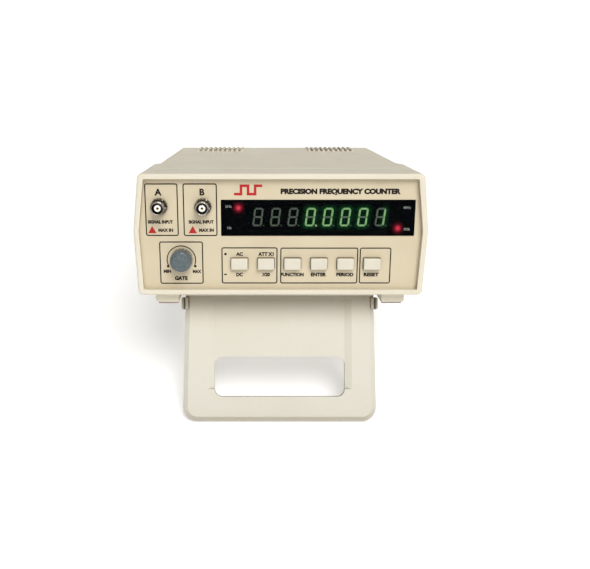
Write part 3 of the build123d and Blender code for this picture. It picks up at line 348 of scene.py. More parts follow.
@dataclass(frozen=True)
class Plate:
    """Plated, drawn or turned metal with fine marks, dull patches and painted shade in its hollows.

    marks is how much finer the tool marks are along each level axis, and grain and depth are their size
    and depth.
    """

    name: str
    light: Colour
    dark: Colour
    roughness: tuple[float, float] = (0.16, 0.32)
    marks: tuple[float, float, float] = (1.0, 0.15, 1.0)
    grain: float = 0.5
    depth: float = 0.006
    edge: float = 0.12
    painted_hollow_shade: float = 0.97

    def material(self) -> bpy.types.Material:
        """Make the node material.

        Returns:
            The material.
        """
        shader = Shader(self.name)
        marks = shader.noise(self.grain, 3.0, self.marks)
        tone = shader.ramp(shader.noise(6.0, 3.0), self.dark, self.light, 0.35, 0.6)
        # Hollows are darkened nearly to black: painted shade.
        tone = shader.blend(shader.painted_corner_shade(PAINTED_HOLLOW_SHADE_REACH, self.painted_hollow_shade), tone, PAINTED_HOLLOW_SHADE)
        shader.link(tone, "Base Color")
        shader.link(shader.spread(marks, *self.roughness), "Roughness")
        shader.set(Metallic=1.0)
        shader.relief(marks, self.depth, self.edge)
        return shader.material


@dataclass(frozen=True)
class Ink:
    """Screen-printed ink, a little broken in its film."""

    name: str
    colour: Colour
    thin: Colour

    def material(self) -> bpy.types.Material:
        """Make the node material.

        Returns:
            The material.
        """
        shader = Shader(self.name)
        film = shader.noise(0.5, 3.0)
        shader.link(shader.ramp(film, self.thin, self.colour, 0.3, 0.5), "Base Color")
        shader.set(Roughness=0.6, Specular_IOR_Level=0.15)
        shader.relief(film, 0.01)
        return shader.material


@dataclass(frozen=True)
class Glow:
    """Light-emitting segment or lamp, with a faint grain in its diffuser."""

    name: str
    colour: Colour
    shade: Colour
    strength: float

    def material(self) -> bpy.types.Material:
        """Make the node material.

        Returns:
            The material.
        """
        shader = Shader(self.name)
        colour = shader.ramp(shader.noise(1.6, 2.0), self.shade, self.colour, 0.3, 0.6)
        shader.link(colour, "Base Color")
        shader.link(colour, "Emission Color")
        shader.set(Emission_Strength=self.strength, Roughness=0.4)
        return shader.material


@dataclass(frozen=True)
class PaintedGlowFilm:
    """Black film that glows: the glow round the digits and lamps is painted into it."""

    name: str
    layer: str
    black: Colour
    worn: Colour

    def material(self) -> bpy.types.Material:
        """Make the node material; the piece's own colour layer holds the painted glow.

        Returns:
            The material.
        """
        shader = Shader(self.name)
        painted_glow = shader.tree.nodes.new("ShaderNodeVertexColor")
        painted_glow.layer_name = self.layer
        shader.link(shader.ramp(shader.noise(0.8), self.black, self.worn, 0.3, 0.7), "Base Color")
        shader.link(painted_glow.outputs["Color"], "Emission Color")
        shader.set(Emission_Strength=1.0, Roughness=0.5, Specular_IOR_Level=0.1)
        return shader.material


@dataclass(frozen=True)
class ClearSheet:
    """Dark or clear acrylic or glass: polished, with a faint film of dust."""

    name: str
    tint: Colour
    alpha: float
    specular: float

    def material(self) -> bpy.types.Material:
        """Make the node material.

        Returns:
            The material.
        """
        shader = Shader(self.name)
        dust = shader.noise(3.0, 5.0)
        dusty = tuple(value * DUSTY for value in self.tint)
        shader.link(shader.ramp(dust, self.tint, dusty, 0.4, 0.8), "Base Color")
        shader.link(shader.spread(dust, 0.06, 0.12), "Roughness")
        shader.set(Alpha=self.alpha, Specular_IOR_Level=self.specular)
        return shader.material


@dataclass(frozen=True)
class Laminate:
    """Circuit board: solder mask over copper tracks."""

    name: str
    mask: Colour
    track: Colour
    cell_rate: float = 0.22
    track_width: float = 0.05
    shade: float = 0.8

    def material(self) -> bpy.types.Material:
        """Make the node material.

        Returns:
            The material.
        """
        shader = Shader(self.name)
        cells = shader.tree.nodes.new("ShaderNodeTexBrick")
        cells.inputs["Scale"].default_value = self.cell_rate
        cells.inputs["Mortar Size"].default_value = self.track_width
        cells.inputs["Color1"].default_value = (*self.mask, 1)
        cells.inputs["Color2"].default_value = (*[value * self.shade for value in self.mask], 1)
        cells.inputs["Mortar"].default_value = (*self.track, 1)
        shader.link(shader.place, cells.inputs["Vector"])
        shader.link(cells.outputs["Color"], "Base Color")
        shader.set(Roughness=0.3)
        shader.relief(cells.outputs["Fac"], 0.04, 0.1)
        return shader.material


Finish = Moulding | Plate | Ink | Glow | PaintedGlowFilm | ClearSheet | Laminate

# In these mouldings the darkening of corners and of surfaces near other parts is painted shade.
CASE_PLASTIC = Moulding(
    "case_plastic", (0.695, 0.645, 0.525), (0.672, 0.62, 0.50), depth=0.045, painted_shade=0.3,
)
# The bail's painted shade reaches 90 mm, so it is darkest near the hinge under the case.
BAIL_PLASTIC = Moulding(
    "bail_plastic", (0.64, 0.62, 0.545), (0.62, 0.595, 0.515), grain=0.5, painted_shade=1.0, reach=90.0,
)
PANEL_PLASTIC = Moulding(
    "panel_plastic", (0.60, 0.525, 0.375), (0.575, 0.495, 0.35), depth=0.015, mottle=30.0, painted_shade=0.3,
)
KEY_PLASTIC = Moulding(
    "key_plastic", (0.64, 0.60, 0.50), (0.61, 0.575, 0.475), (0.28, 0.36), 0.6, 0.01, 20.0, 0.3,
    coat=0.2, painted_shade=1.0, reach=2.4,
)
# The knob's light and dark tones, in flecks 1.1 mm across, are painted glints on its flutes.
KNOB_PLASTIC = Moulding(
    "knob_plastic", (0.105, 0.135, 0.147), (0.048, 0.064, 0.073), (0.26, 0.4), 0.5, 0.03, 1.1, 0.15,
    coat=0.35, painted_shade=0.5, reach=2.0,
)
BLACK_PLASTIC = Moulding(
    "black_plastic", (0.028, 0.028, 0.03), (0.018, 0.018, 0.02), (0.3, 0.45), 0.4, 0.015, 10.0, 0.25,
)
PAD_RUBBER = Moulding(
    "pad_rubber", (0.34, 0.27, 0.23), (0.24, 0.19, 0.17), (0.7, 0.85), 0.5, 0.04, 8.0, 0.4,
)
REAR_PAINT = Moulding(
    "rear_paint", (0.58, 0.53, 0.43), (0.54, 0.49, 0.40), (0.45, 0.55), 0.8, 0.03, 60.0, 0.2,
)
DIELECTRIC = Moulding(
    "dielectric", (0.94, 0.92, 0.87), (0.88, 0.86, 0.80), (0.35, 0.45), 0.3, 0.01, 3.0, 0.1, painted_shade=0.0,
)
DIGIT_FACE = Moulding(
    "digit_face", (0.008, 0.011, 0.009), (0.005, 0.007, 0.006), (0.35, 0.45), 0.4, 0.01, 8.0, 0.2,
)
SLEEVE = Moulding(
    "capacitor_sleeve", (0.03, 0.05, 0.16), (0.02, 0.035, 0.12), (0.25, 0.35), 0.6, 0.01, 6.0, 0.3,
)
SHEATH = Moulding(
    "lead_sheath", (0.04, 0.04, 0.045), (0.025, 0.025, 0.03), (0.35, 0.5), 0.4, 0.01, 5.0, 0.2,
)
RIBBON = Moulding(
    "ribbon_grey", (0.42, 0.43, 0.44), (0.36, 0.37, 0.38), (0.4, 0.5), 0.6, 0.02, 5.0, 0.1,
)
CORE = Moulding("core_varnish", (0.10, 0.085, 0.07), (0.06, 0.05, 0.045), (0.4, 0.6), 0.5, 0.06, 8.0, 0.2)
NICKEL = Plate("nickel_plate", (0.66, 0.62, 0.56), (0.26, 0.235, 0.20))
# A darker copy of the nickel for the nuts and washers: painted shade on their flanks.
NICKEL_PAINTED_SHADE = Plate("nickel_painted_shade", (0.30, 0.275, 0.24), (0.10, 0.09, 0.078))
STEEL = Plate("zinc_steel", (0.62, 0.62, 0.60), (0.42, 0.42, 0.41), (0.25, 0.42))
# The gold is darkened as painted shade on the contacts, which sit deep in their sockets.
GOLD = Plate("contact_gold", (0.50, 0.36, 0.15), (0.24, 0.16, 0.07))
TIN = Plate("tin_plate", (0.66, 0.67, 0.68), (0.50, 0.51, 0.53), (0.3, 0.45), (1, 1, 1), 4.0, 0.02)
ALUMINIUM = Plate(
    "sink_aluminium", (0.64, 0.65, 0.66), (0.50, 0.51, 0.52), (0.3, 0.45), (1, 1, 0.1), 0.8, 0.02,
)
BLACK_INK = Ink("black_ink", (0.012, 0.009, 0.008), (0.03, 0.024, 0.02))
RED_INK = Ink("red_ink", (0.42, 0.022, 0.022), (0.50, 0.05, 0.045))
WHITE_INK = Ink("white_ink", (0.20, 0.22, 0.21), (0.13, 0.145, 0.135))
LIT_GREEN = Glow("lit_segment", (0.58, 1.0, 0.46), (0.40, 0.84, 0.30), 3.3)
DIM_GREEN = Glow("unlit_segment", (0.70, 0.90, 0.68), (0.50, 0.68, 0.50), 0.8)
LIT_RED = Glow("lit_lamp", (1.0, 0.07, 0.12), (0.85, 0.04, 0.08), 5.0)
DIM_RED = Glow("unlit_lamp", (0.10, 0.01, 0.01), (0.06, 0.008, 0.008), 0.0)
# A black film with the glow round the lit digits and lamps painted into it.
PAINTED_GLOW_FILM = PaintedGlowFilm("painted_glow_film", "painted_glow", (0.004, 0.006, 0.005), (0.01, 0.014, 0.012))
WINDOW = ClearSheet("smoked_window", (0.0004, 0.0008, 0.0014), alpha=0.65, specular=0.03)
GLASS = ClearSheet("fuse_glass", (0.6, 0.62, 0.6), alpha=0.3, specular=0.5)
BOARD = Laminate("board_laminate", (0.02, 0.12, 0.045), (0.05, 0.20, 0.08))
NODE_FINISHES = {
    CASE_PLASTIC: [
        "front_frame", "top_cover", "bottom_cover",
        *[f"{place}_foot_{side}" for place in ("front", "rear") for side in ("left", "right")],
    ],
    BAIL_PLASTIC: ["bail_stand"],
    PANEL_PLASTIC: ["front_panel"],
    KEY_PLASTIC: [f"{name}_button" for name in KEY_NAMES],
    BLACK_PLASTIC: [
        "mains_inlet", "power_switch", "power_rocker", "fuse_holder", "fuse_cap", "counter_chip",
        "switch_housings", *[f"{name}_plunger" for name in KEY_NAMES],
    ],
    KNOB_PLASTIC: ["gate_knob"],
    PAD_RUBBER: ["foot_pads"],
    REAR_PAINT: ["rear_panel"],
    DIELECTRIC: ["socket_a_insulator", "socket_b_insulator"],
    DIGIT_FACE: ["digit_module_left", "digit_module_right"],
    SLEEVE: ["smoothing_capacitors"],
    SHEATH: ["input_leads"],
    RIBBON: ["ribbon_cable"],
    CORE: ["mains_transformer"],
    NICKEL: [
        "socket_a_barrel", "socket_b_barrel", "socket_nuts", "socket_washers", "potentiometer_nut",
        "inlet_blades",
    ],
    STEEL: ["gate_shaft", "case_screws", "board_screws", "gate_potentiometer"],
    GOLD: ["socket_a_contact", "socket_b_contact"],
    TIN: ["screening_can", "crystal_oscillator"],
    ALUMINIUM: ["heat_sink"],
    DIM_RED: ["indicator_lamps"],
    WINDOW: ["display_window"],
    GLASS: ["fuse"],
    BOARD: ["display_board", "main_board"],
}


class Finishes:
    """Makes each finish's material once."""

    def __init__(self) -> None:
        """Start with no materials made."""
        self.made: dict[str, bpy.types.Material] = {}

    def of(self, finish: Finish) -> bpy.types.Material:
        """Give the finish's material, made on first use.

        Args:
            finish: the finish that is wanted.

        Returns:
            Its material.
        """
        if finish.name not in self.made:
            self.made[finish.name] = finish.material()
        return self.made[finish.name]


FINISHES = Finishes()


# ------------------------------------------------------------------ bench work
class Workpiece:
    """A mesh drawn in level millimetres, then set in place as one named piece."""

    def __init__(self, name: str) -> None:
        """Start an empty mesh."""
        self.name = name
        self.mesh = bmesh.new()

    def band(self, rings: Sequence[Sequence[Vector]], loop: bool = False, caps: bool = True) -> None:
        """Skin a row of rings that have the same number of points.

        Args:
            rings: the rings in order.
            loop: join the last ring to the first.
            caps: close the first and the last ring with a face, when they aren't joined.
        """
        made = [[self.mesh.verts.new(point) for point in ring] for ring in rings]
        pairs = list(zip(made, made[1:])) + ([(made[-1], made[0])] if loop else [])
        for ring, following in pairs:
            for index, vertex in enumerate(ring):
                after = (index + 1) % len(ring)
                self.mesh.faces.new((vertex, ring[after], following[after], following[index]))
        if caps and not loop:
            self.mesh.faces.new(made[0])
            self.mesh.faces.new(made[-1])

    def prism(self, outline: Sequence[Point], front: float, back: float) -> None:
        """Add a straight prism with its outline across the panel, from one depth to another."""
        self.band([[Vector((x, depth, z)) for x, z in outline] for depth in (front, back)])

    def frame(self, outer: Sequence[Point], inner: Sequence[Point], front: float, back: float) -> None:
        """Add a closed frame between two outlines that have the same number of points."""
        rows = ((outer, back), (outer, front), (inner, front), (inner, back))
        self.band([[Vector((x, depth, z)) for x, z in outline] for outline, depth in rows], loop=True)

    def lathe(
        self, centre: Vector, profile: Sequence[Point], steps: int = 64,
        radius_at: Callable[[float, float], float] | None = None, hollow: bool = False,
    ) -> None:
        """Turn a profile about an axis that runs to the rear.

        Args:
            centre: a point on the axis.
            profile: radius and depth of each point, from the axis or bore to its other end.
            steps: flats round the turn.
            radius_at: changes a radius by its angle.
            hollow: the profile closes on itself round a bore.
        """
        rings = []
        for radius, depth in profile:
            ring = []
            for step in range(steps):
                angle = 2 * math.pi * step / steps
                reach = radius_at(radius, angle) if radius_at else radius
                x = centre.x + reach * math.cos(angle)
                z = centre.z + reach * math.sin(angle)
                ring.append(Vector((x, depth, z)))
            rings.append(ring)
        self.band(rings, loop=hollow)

    def words(
        self, text: str, x: float, z: float, cap: float, depth: float, width: float | None = None,
        weight: float = 0.06, rear: bool = False,
    ) -> None:
        """Add printed lettering centred on a point of the panel.

        Args:
            text: what is printed.
            x: centre across the panel.
            z: centre up the panel.
            cap: height of the letters.
            depth: depth of the printed face.
            width: length of the words, or the font's own.
            weight: how far the strokes are thickened, as a share of the letter's size.
            rear: lettering on the back, read from behind.
        """
        curve = bpy.data.curves.new("words", "FONT")
        curve.body = text
        curve.offset = weight
        curve.resolution_u = 3
        holder = bpy.data.objects.new("words", curve)
        flat = bpy.data.meshes.new_from_object(holder)
        xs = [vertex.co.x for vertex in flat.vertices]
        ys = [vertex.co.y for vertex in flat.vertices]
        tall = cap / (max(ys) - min(ys))
        wide = width / (max(xs) - min(xs)) if width else tall
        side = -1 if rear else 1
        middle = Vector(((min(xs) + max(xs)) / 2, (min(ys) + max(ys)) / 2))
        start = len(self.mesh.verts)
        self.mesh.from_mesh(flat)
        self.mesh.verts.ensure_lookup_table()
        for vertex in self.mesh.verts[start:]:
            across = x + side * (vertex.co.x - middle.x) * wide
            vertex.co = (across, depth, z + (vertex.co.y - middle.y) * tall)
        bpy.data.meshes.remove(flat)
        bpy.data.objects.remove(holder)
        bpy.data.curves.remove(curve)

    def place(
        self, finish: Finish, body: Body, slot: str, replaces: Iterable[str] = (), crisp: float = 35.0,
    ) -> bpy.types.Object:
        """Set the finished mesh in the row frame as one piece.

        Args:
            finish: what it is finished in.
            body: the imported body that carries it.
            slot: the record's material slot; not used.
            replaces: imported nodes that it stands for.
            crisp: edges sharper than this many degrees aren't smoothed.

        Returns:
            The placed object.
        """
        bmesh.ops.recalc_face_normals(self.mesh, faces=self.mesh.faces)
        bmesh.ops.transform(self.mesh, matrix=LEVEL.matrix, verts=self.mesh.verts)
        data = bpy.data.meshes.new(self.name)
        self.mesh.to_mesh(data)
        self.mesh.free()
        piece = bpy.data.objects.new(self.name, data)
        bpy.context.scene.collection.objects.link(piece)
        data.materials.append(FINISHES.of(finish))
        data.shade_smooth()
        data.set_sharp_from_angle(angle=math.radians(crisp))
        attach(piece, body.value)
        if replaces:
            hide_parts(*replaces)
        LOG.info("%s: %d faces, %s", self.name, len(data.polygons), finish.name)
        return piece


def rounded_box(
    left: float, bottom: float, right: float, top: float, radius: float, steps: int = 6,
) -> list[Point]:
    """Outline of a box with round corners.

    Args:
        left: its left side.
        bottom: its lower side.
        right: its right side.
        top: its upper side.
        radius: radius of the corners.
        steps: flats in each corner.

    Returns:
        Points anticlockwise from the lower right corner.
    """
    corners = [
        (right - radius, bottom + radius), (right - radius, top - radius),
        (left + radius, top - radius), (left + radius, bottom + radius),
    ]
    points = []
    for quarter, (x, z) in enumerate(corners):
        for step in range(steps + 1):
            angle = math.pi / 2 * (quarter - 1 + step / steps)
            points.append((x + radius * math.cos(angle), z + radius * math.sin(angle)))
    return points


def spot(x: float, z: float, radius: float, steps: int = 24) -> list[Point]:
    """Outline of a round spot."""
    turns = [step * math.pi / (steps / 2) for step in range(steps)]
    return [(x + radius * math.cos(turn), z + radius * math.sin(turn)) for turn in turns]


# ------------------------------------------------------------------ front panel print
@dataclass
class PanelPrint:
    """Printed frames, words and marks on the front panel."""

    film: float = 0.05
    line: float = 0.85
    corner: float = 1.7
    boxes: tuple[tuple[float, float, float, float], ...] = (
        (-98.8, 44.1, -74.7, 82.6), (-71.1, 44.0, -46.3, 82.6), (-89.5, 7.8, -57.2, 40.0),
        (-43.7, 8.0, -2.2, 35.6), (-0.2, 8.0, 57.4, 35.4), (58.5, 8.0, 81.8, 35.4),
    )
    title: str = "PRECISION FREQUENCY COUNTER"
    title_at: Point = (43.2, 76.5)
    title_size: Point = (87.0, 4.8)
    title_weight: float = 0.072
    channels: tuple[tuple[str, float, float, float], ...] = (
        ("A", -88.9, -87.9, -84.2), ("B", -57.1, -58.2, -54.4),
    )
    letter_row: float = 76.3
    letter: float = 5.0
    letter_weight: float = 0.045
    caption_row: float = 54.5
    caption_width: float = 18.3
    limit_row: float = 48.4
    limit_width: float = 10.8
    small: float = 2.6
    key_cap: float = 2.9
    upper_row: float = 30.5
    lower_row: float = 14.9
    gate_at: Point = (-73.4, 26.1)
    gate_radius: float = 10.9
    gate_half_sweep: float = math.radians(112.6)
    gate_spot: float = 1.0
    gate_words: tuple[tuple[str, float, float, float, float], ...] = (
        ("GATE", -73.9, 12.1, 3.1, 9.6), ("MIN", -84.0, 17.4, 2.6, 5.6), ("MAX", -62.0, 17.3, 2.6, 6.4),
    )
    out_mark: tuple[float, float] = (-40.7, 0.95)
    in_mark: tuple[float, float, float, float] = (-42.0, 14.5, -39.8, 15.5)
    triangles: tuple[Point, ...] = ((-94.1, 48.6), (-64.4, 48.6))
    triangle_half: float = 3.1
    triangle_drop: float = 2.5
    triangle_rise: float = 2.9
    pulse_start: float = -34.0
    pulse_low: float = 73.9
    pulse_high: float = 79.9
    pulse_stroke: float = 1.9
    pulse_pitch: float = 5.1

    def build(self) -> None:
        """Print the panel in black, then in red."""
        self.face = LEVEL.box("front_panel")[0].y - self.film
        self.back = self.face + self.film / 2
        black = Workpiece("panel_print_black")
        self.frames(black)
        self.words(black)
        self.gate_scale(black)
        self.state_marks(black)
        black.place(BLACK_INK, Body.CASE, "panel_plastic")
        self.red_marks()

    def frames(self, work: Workpiece) -> None:
        """Add the six outlined groups.

        Args:
            work: the print that they join.
        """
        for left, bottom, right, top in self.boxes:
            outer = rounded_box(left, bottom, right, top, self.corner)
            inner = rounded_box(
                left + self.line, bottom + self.line, right - self.line, top - self.line,
                self.corner - self.line,
            )
            work.frame(outer, inner, self.face, self.back)

    def words(self, work: Workpiece) -> None:
        """Add the lettering.

        Args:
            work: the print that it joins.
        """
        keys = {name: LEVEL.centre(f"{name}_button").x for name in KEY_NAMES}
        length, cap = self.title_size
        work.words(self.title, *self.title_at, cap, self.face, length, self.title_weight)
        for letter, x, caption, limit in self.channels:
            work.words(letter, x, self.letter_row, self.letter, self.face, None, self.letter_weight)
            row, width = self.caption_row, self.caption_width
            work.words("SIGNAL INPUT", caption, row, self.small, self.face, width)
            work.words("MAX IN", limit, self.limit_row, self.small, self.face, self.limit_width)
        for text, x, z, tall, width in self.gate_words:
            work.words(text, x, z, tall, self.face, width)
        for text, key, z, width in (
            ("AC", "coupling", self.upper_row, 5.0), ("DC", "coupling", self.lower_row, 5.0),
            ("ATT X1", "attenuator", self.upper_row, 11.4), ("X20", "attenuator", self.lower_row, 6.0),
            ("FUNCTION", "function", self.lower_row, 17.2), ("ENTER", "enter", self.lower_row, 11.4),
            ("PERIOD", "period", self.lower_row, 12.8), ("RESET", "reset", self.lower_row, 11.2),
        ):
            work.words(text, keys[key], z, self.key_cap, self.face, width)

    def gate_scale(self, work: Workpiece) -> None:
        """Add the arc round the gate knob and the spots at its ends.

        Args:
            work: the print that they join.
        """
        across, up = self.gate_at
        radius, half, steps = self.gate_radius, self.gate_half_sweep, 40
        ring = []
        for step in range(steps + 1):
            angle = math.pi / 2 + half - 2 * half * step / steps
            ring.append((across + radius * math.cos(angle), up + radius * math.sin(angle)))
        inner = radius - self.line * 0.85
        for start, end in zip(ring, ring[1:]):
            shrunk = [
                (across + (x - across) * inner / radius, up + (z - up) * inner / radius)
                for x, z in (end, start)
            ]
            work.prism([start, end, *shrunk], self.face, self.back)
        for x, z in (ring[0], ring[-1]):
            work.prism(spot(x + 0.1, z - 0.6, self.gate_spot), self.face, self.back)

    def state_marks(self, work: Workpiece) -> None:
        """Add the out and in marks beside the latching keys.

        Args:
            work: the print that they join.
        """
        x, radius = self.out_mark
        work.prism(spot(x, self.upper_row, radius), self.face, self.back)
        work.prism(rounded_box(*self.in_mark, 0.3), self.face, self.back)

    def red_marks(self) -> None:
        """Print the plain limit triangles and a pulse-train symbol."""
        red = Workpiece("panel_print_red")
        for x, z in self.triangles:
            left, right, foot = x - self.triangle_half, x + self.triangle_half, z - self.triangle_drop
            outline = [(left, foot), (right, foot), (x, z + self.triangle_rise)]
            red.prism(outline, self.face, self.back)
        low, high, stroke = self.pulse_low, self.pulse_high, self.pulse_stroke
        for index in range(4):
            x = self.pulse_start + index * self.pulse_pitch
            flat = high if index % 2 else low
            level = rounded_box(x, flat, x + self.pulse_pitch, flat + stroke, 0.2)
            red.prism(level, self.face, self.back)
            if index:
                upright = rounded_box(x - stroke / 2, low, x + stroke / 2, high + stroke, 0.2)
                red.prism(upright, self.face - 0.005, self.back)
        red.place(RED_INK, Body.CASE, "panel_plastic")


# ------------------------------------------------------------------ display
@dataclass
class Display:
    """Seven-segment digits, lamps, the glow painted round them and the captions of the smoked window."""

    pitch: float = 12.9
    digit_width: float = 7.0
    digit_height: float = 13.8
    stroke: float = 1.35
    gap: float = 0.12
    slant: float = math.radians(7)
    shown: str = "   0.0001"
    film_lift: float = 0.06
    segment_lift: float = 0.14
    cell: float = 0.6
    lamp_radius: float = 1.5
    dot_at: Point = (0.7, 0.6)          # right of the digit's edge and above its foot
    dot_lit: float = 0.8
    dot_dim: float = 0.45
    # Colours and spreads of the glow painted round lit digits and lamps.
    green_painted_glow: Colour = (0.016, 0.26, 0.06)
    green_spread: float = 2.1
    red_painted_glow: Colour = (4.2, 0.2, 0.42)
    red_spread: float = 2.3
    far: float = 3.0                    # spreads beyond which no painted glow is added
    unit_cap: float = 2.0
    units: tuple[tuple[str, float, float], ...] = (
        ("kHz", -38.0, 65.9), ("Hz", -37.5, 50.1), ("MHz", 92.0, 65.0), ("ms", 92.4, 49.0),
    )
    lamps: tuple[tuple[float, float, bool], ...] = (
        (-31.2, 63.4, True), (-31.2, 48.2, False), (87.4, 63.4, False), (87.4, 48.2, True),
    )

    def segments(self) -> dict[str, list[Point]]:
        """Outlines of the seven segments about the digit's centre, before the slant.

        Returns:
            Each segment's outline under its usual letter.
        """
        point = self.stroke / 2
        right, top = self.digit_width / 2 - point, self.digit_height / 2 - point
        reach = right - self.gap

        def bar(z: float) -> list[Point]:
            """Level segment with pointed ends.

            Args:
                z: its height above the digit's centre.

            Returns:
                Its outline.
            """
            inner = reach - point
            return [
                (-reach, z), (-inner, z - point), (inner, z - point), (reach, z),
                (inner, z + point), (-inner, z + point),
            ]

        def post(x: float, base: float) -> list[Point]:
            """Upright segment with pointed ends, half a digit tall.

            Args:
                x: its place right of the digit's centre.
                base: its lower end above the digit's centre.

            Returns:
                Its outline.
            """
            low, high = base + self.gap, base + top - self.gap
            return [
                (x, low), (x + point, low + point), (x + point, high - point), (x, high),
                (x - point, high - point), (x - point, low + point),
            ]

        return {
            "a": bar(top), "g": bar(0.0), "d": bar(-top),
            "f": post(-right, 0.0), "b": post(right, 0.0),
            "e": post(-right, -top), "c": post(right, -top),
        }

    def build(self) -> None:
        """Build the segments, the lamps, the glow painted round them and the captions."""
        low, high = LEVEL.box("digit_module_left")[0], LEVEL.box("digit_module_right")[1]
        self.low, self.high, self.face = low, high, low.y
        self.sources: list[tuple[float, float, Colour, float]] = []
        middle = (low + high) / 2
        lit, dim = Workpiece("segments_lit"), Workpiece("segments_unlit")
        codes = {" ": "", "0": "abcdef", "1": "bc"}
        characters = [character for character in self.shown if character != "."]
        dotted = self.shown.index(".") - 1
        front = self.face - self.segment_lift
        for index, character in enumerate(characters):
            x = middle.x + (index - (len(characters) - 1) / 2) * self.pitch
            for name, outline in self.segments().items():
                leaning = [
                    (x + across + up * math.tan(self.slant), middle.z + up) for across, up in outline
                ]
                on = name in codes[character]
                (lit if on else dim).prism(leaning, front, self.face)
                if on:
                    self.note_painted_glow(leaning, self.green_painted_glow, self.green_spread)
            size = self.dot_lit if index == dotted else self.dot_dim
            right, up = self.dot_at
            point = spot(x + self.digit_width / 2 + right, middle.z - self.digit_height / 2 + up, size)
            (lit if index == dotted else dim).prism(point, front, self.face)
        lit.place(LIT_GREEN, Body.CASE, "digit_face")
        dim.place(DIM_GREEN, Body.CASE, "digit_face")
        self.turn_lamps()
        self.paint_glow()
        self.captions()

    def note_painted_glow(self, outline: Sequence[Point], colour: Colour, spread: float) -> None:
        """Note where a lit shape's glow is painted: round each point of its outline."""
        for x, z in outline:
            self.sources.append((x, z, colour, spread))

    def turn_lamps(self) -> None:
        """Turn the four indicator lamps, two of them lit."""
        low, high = LEVEL.box("indicator_lamps")
        lit, dim = Workpiece("lamps_lit"), Workpiece("lamps_unlit")
        radius, steps = self.lamp_radius - 0.05, 8
        for x, z, on in self.lamps:
            dome = []
            for step in range(steps + 1):
                angle = math.pi / 2 * step / steps
                depth = low.y + radius * (1 - math.cos(angle))
                dome.append((radius * math.sin(angle) + AXIS_HOLE, depth))
            flange = [
                (radius, high.y - 1.0), (self.lamp_radius, high.y - 0.9), (self.lamp_radius, high.y),
                (AXIS_HOLE, high.y),
            ]
            (lit if on else dim).lathe(Vector((x, 0, z)), [*dome, *flange], 24)
        lit.place(LIT_RED, Body.CASE, "lamp_red", ["indicator_lamps"])
        dim.place(DIM_RED, Body.CASE, "lamp_red", ["indicator_lamps"])

    def paint_glow(self) -> None:
        """Lay the film round the digits and lamps, coloured by the glow painted at each point.

        It is in three sheets: one just behind the digits' faces, and one round the lamps at either side.
        """
        lamp_face = LEVEL.box("indicator_lamps")[0].y + self.lamp_radius
        start, end = LEVEL.box("display_window")
        sheets = (
            (self.low.x, self.high.x, self.low.z, self.high.z, self.face - self.film_lift),
            (start.x, self.low.x, start.z, end.z, lamp_face),
            (self.high.x, end.x, start.z, end.z, lamp_face),
        )
        for x, z, on in self.lamps:
            if on:
                self.sources.append((x, z, self.red_painted_glow, self.red_spread))
        work = Workpiece("display_painted_glow_film")
        for left, right, bottom, top, depth in sheets:
            columns, rows = round((right - left) / self.cell), round((top - bottom) / self.cell)
            grid = []
            for row in range(rows + 1):
                z = bottom + (top - bottom) * row / rows
                grid.append([
                    work.mesh.verts.new((left + (right - left) * column / columns, depth, z))
                    for column in range(columns + 1)
                ])
            for lower, upper in zip(grid, grid[1:]):
                for column in range(columns):
                    corners = (lower[column], lower[column + 1], upper[column + 1], upper[column])
                    work.mesh.faces.new(corners)
        places = [(vertex.co.x, vertex.co.z) for vertex in work.mesh.verts]
        piece = work.place(PAINTED_GLOW_FILM, Body.CASE, "digit_face")
        # Its colour layer holds the painted glow.
        layer = piece.data.color_attributes.new(PAINTED_GLOW_FILM.layer, "FLOAT_COLOR", "POINT")
        for entry, (x, z) in zip(layer.data, places):
            entry.color = (*self.painted_glow_at(x, z), 1.0)

    def painted_glow_at(self, x: float, z: float) -> Colour:
        """Painted glow at a point: the strongest of the sources' falling shares.

        Args:
            x: the point across the panel.
            z: the point up the panel.

        Returns:
            The glow's colour.
        """
        total = [0.0, 0.0, 0.0]
        for source_x, source_z, colour, spread in self.sources:
            away = math.hypot(x - source_x, z - source_z) / spread
            if away < self.far:
                share = math.exp(-away * away)
                total = [max(value, share * part) for value, part in zip(total, colour)]
        return tuple(total)

    def captions(self) -> None:
        """Print the unit captions on the window."""
        face = LEVEL.box("display_window")[0].y - 0.03
        work = Workpiece("window_captions")
        for text, x, z in self.units:
            work.words(text, x, z, self.unit_cap, face, None, 0.02)
        work.place(WHITE_INK, Body.CASE, "window_acrylic")


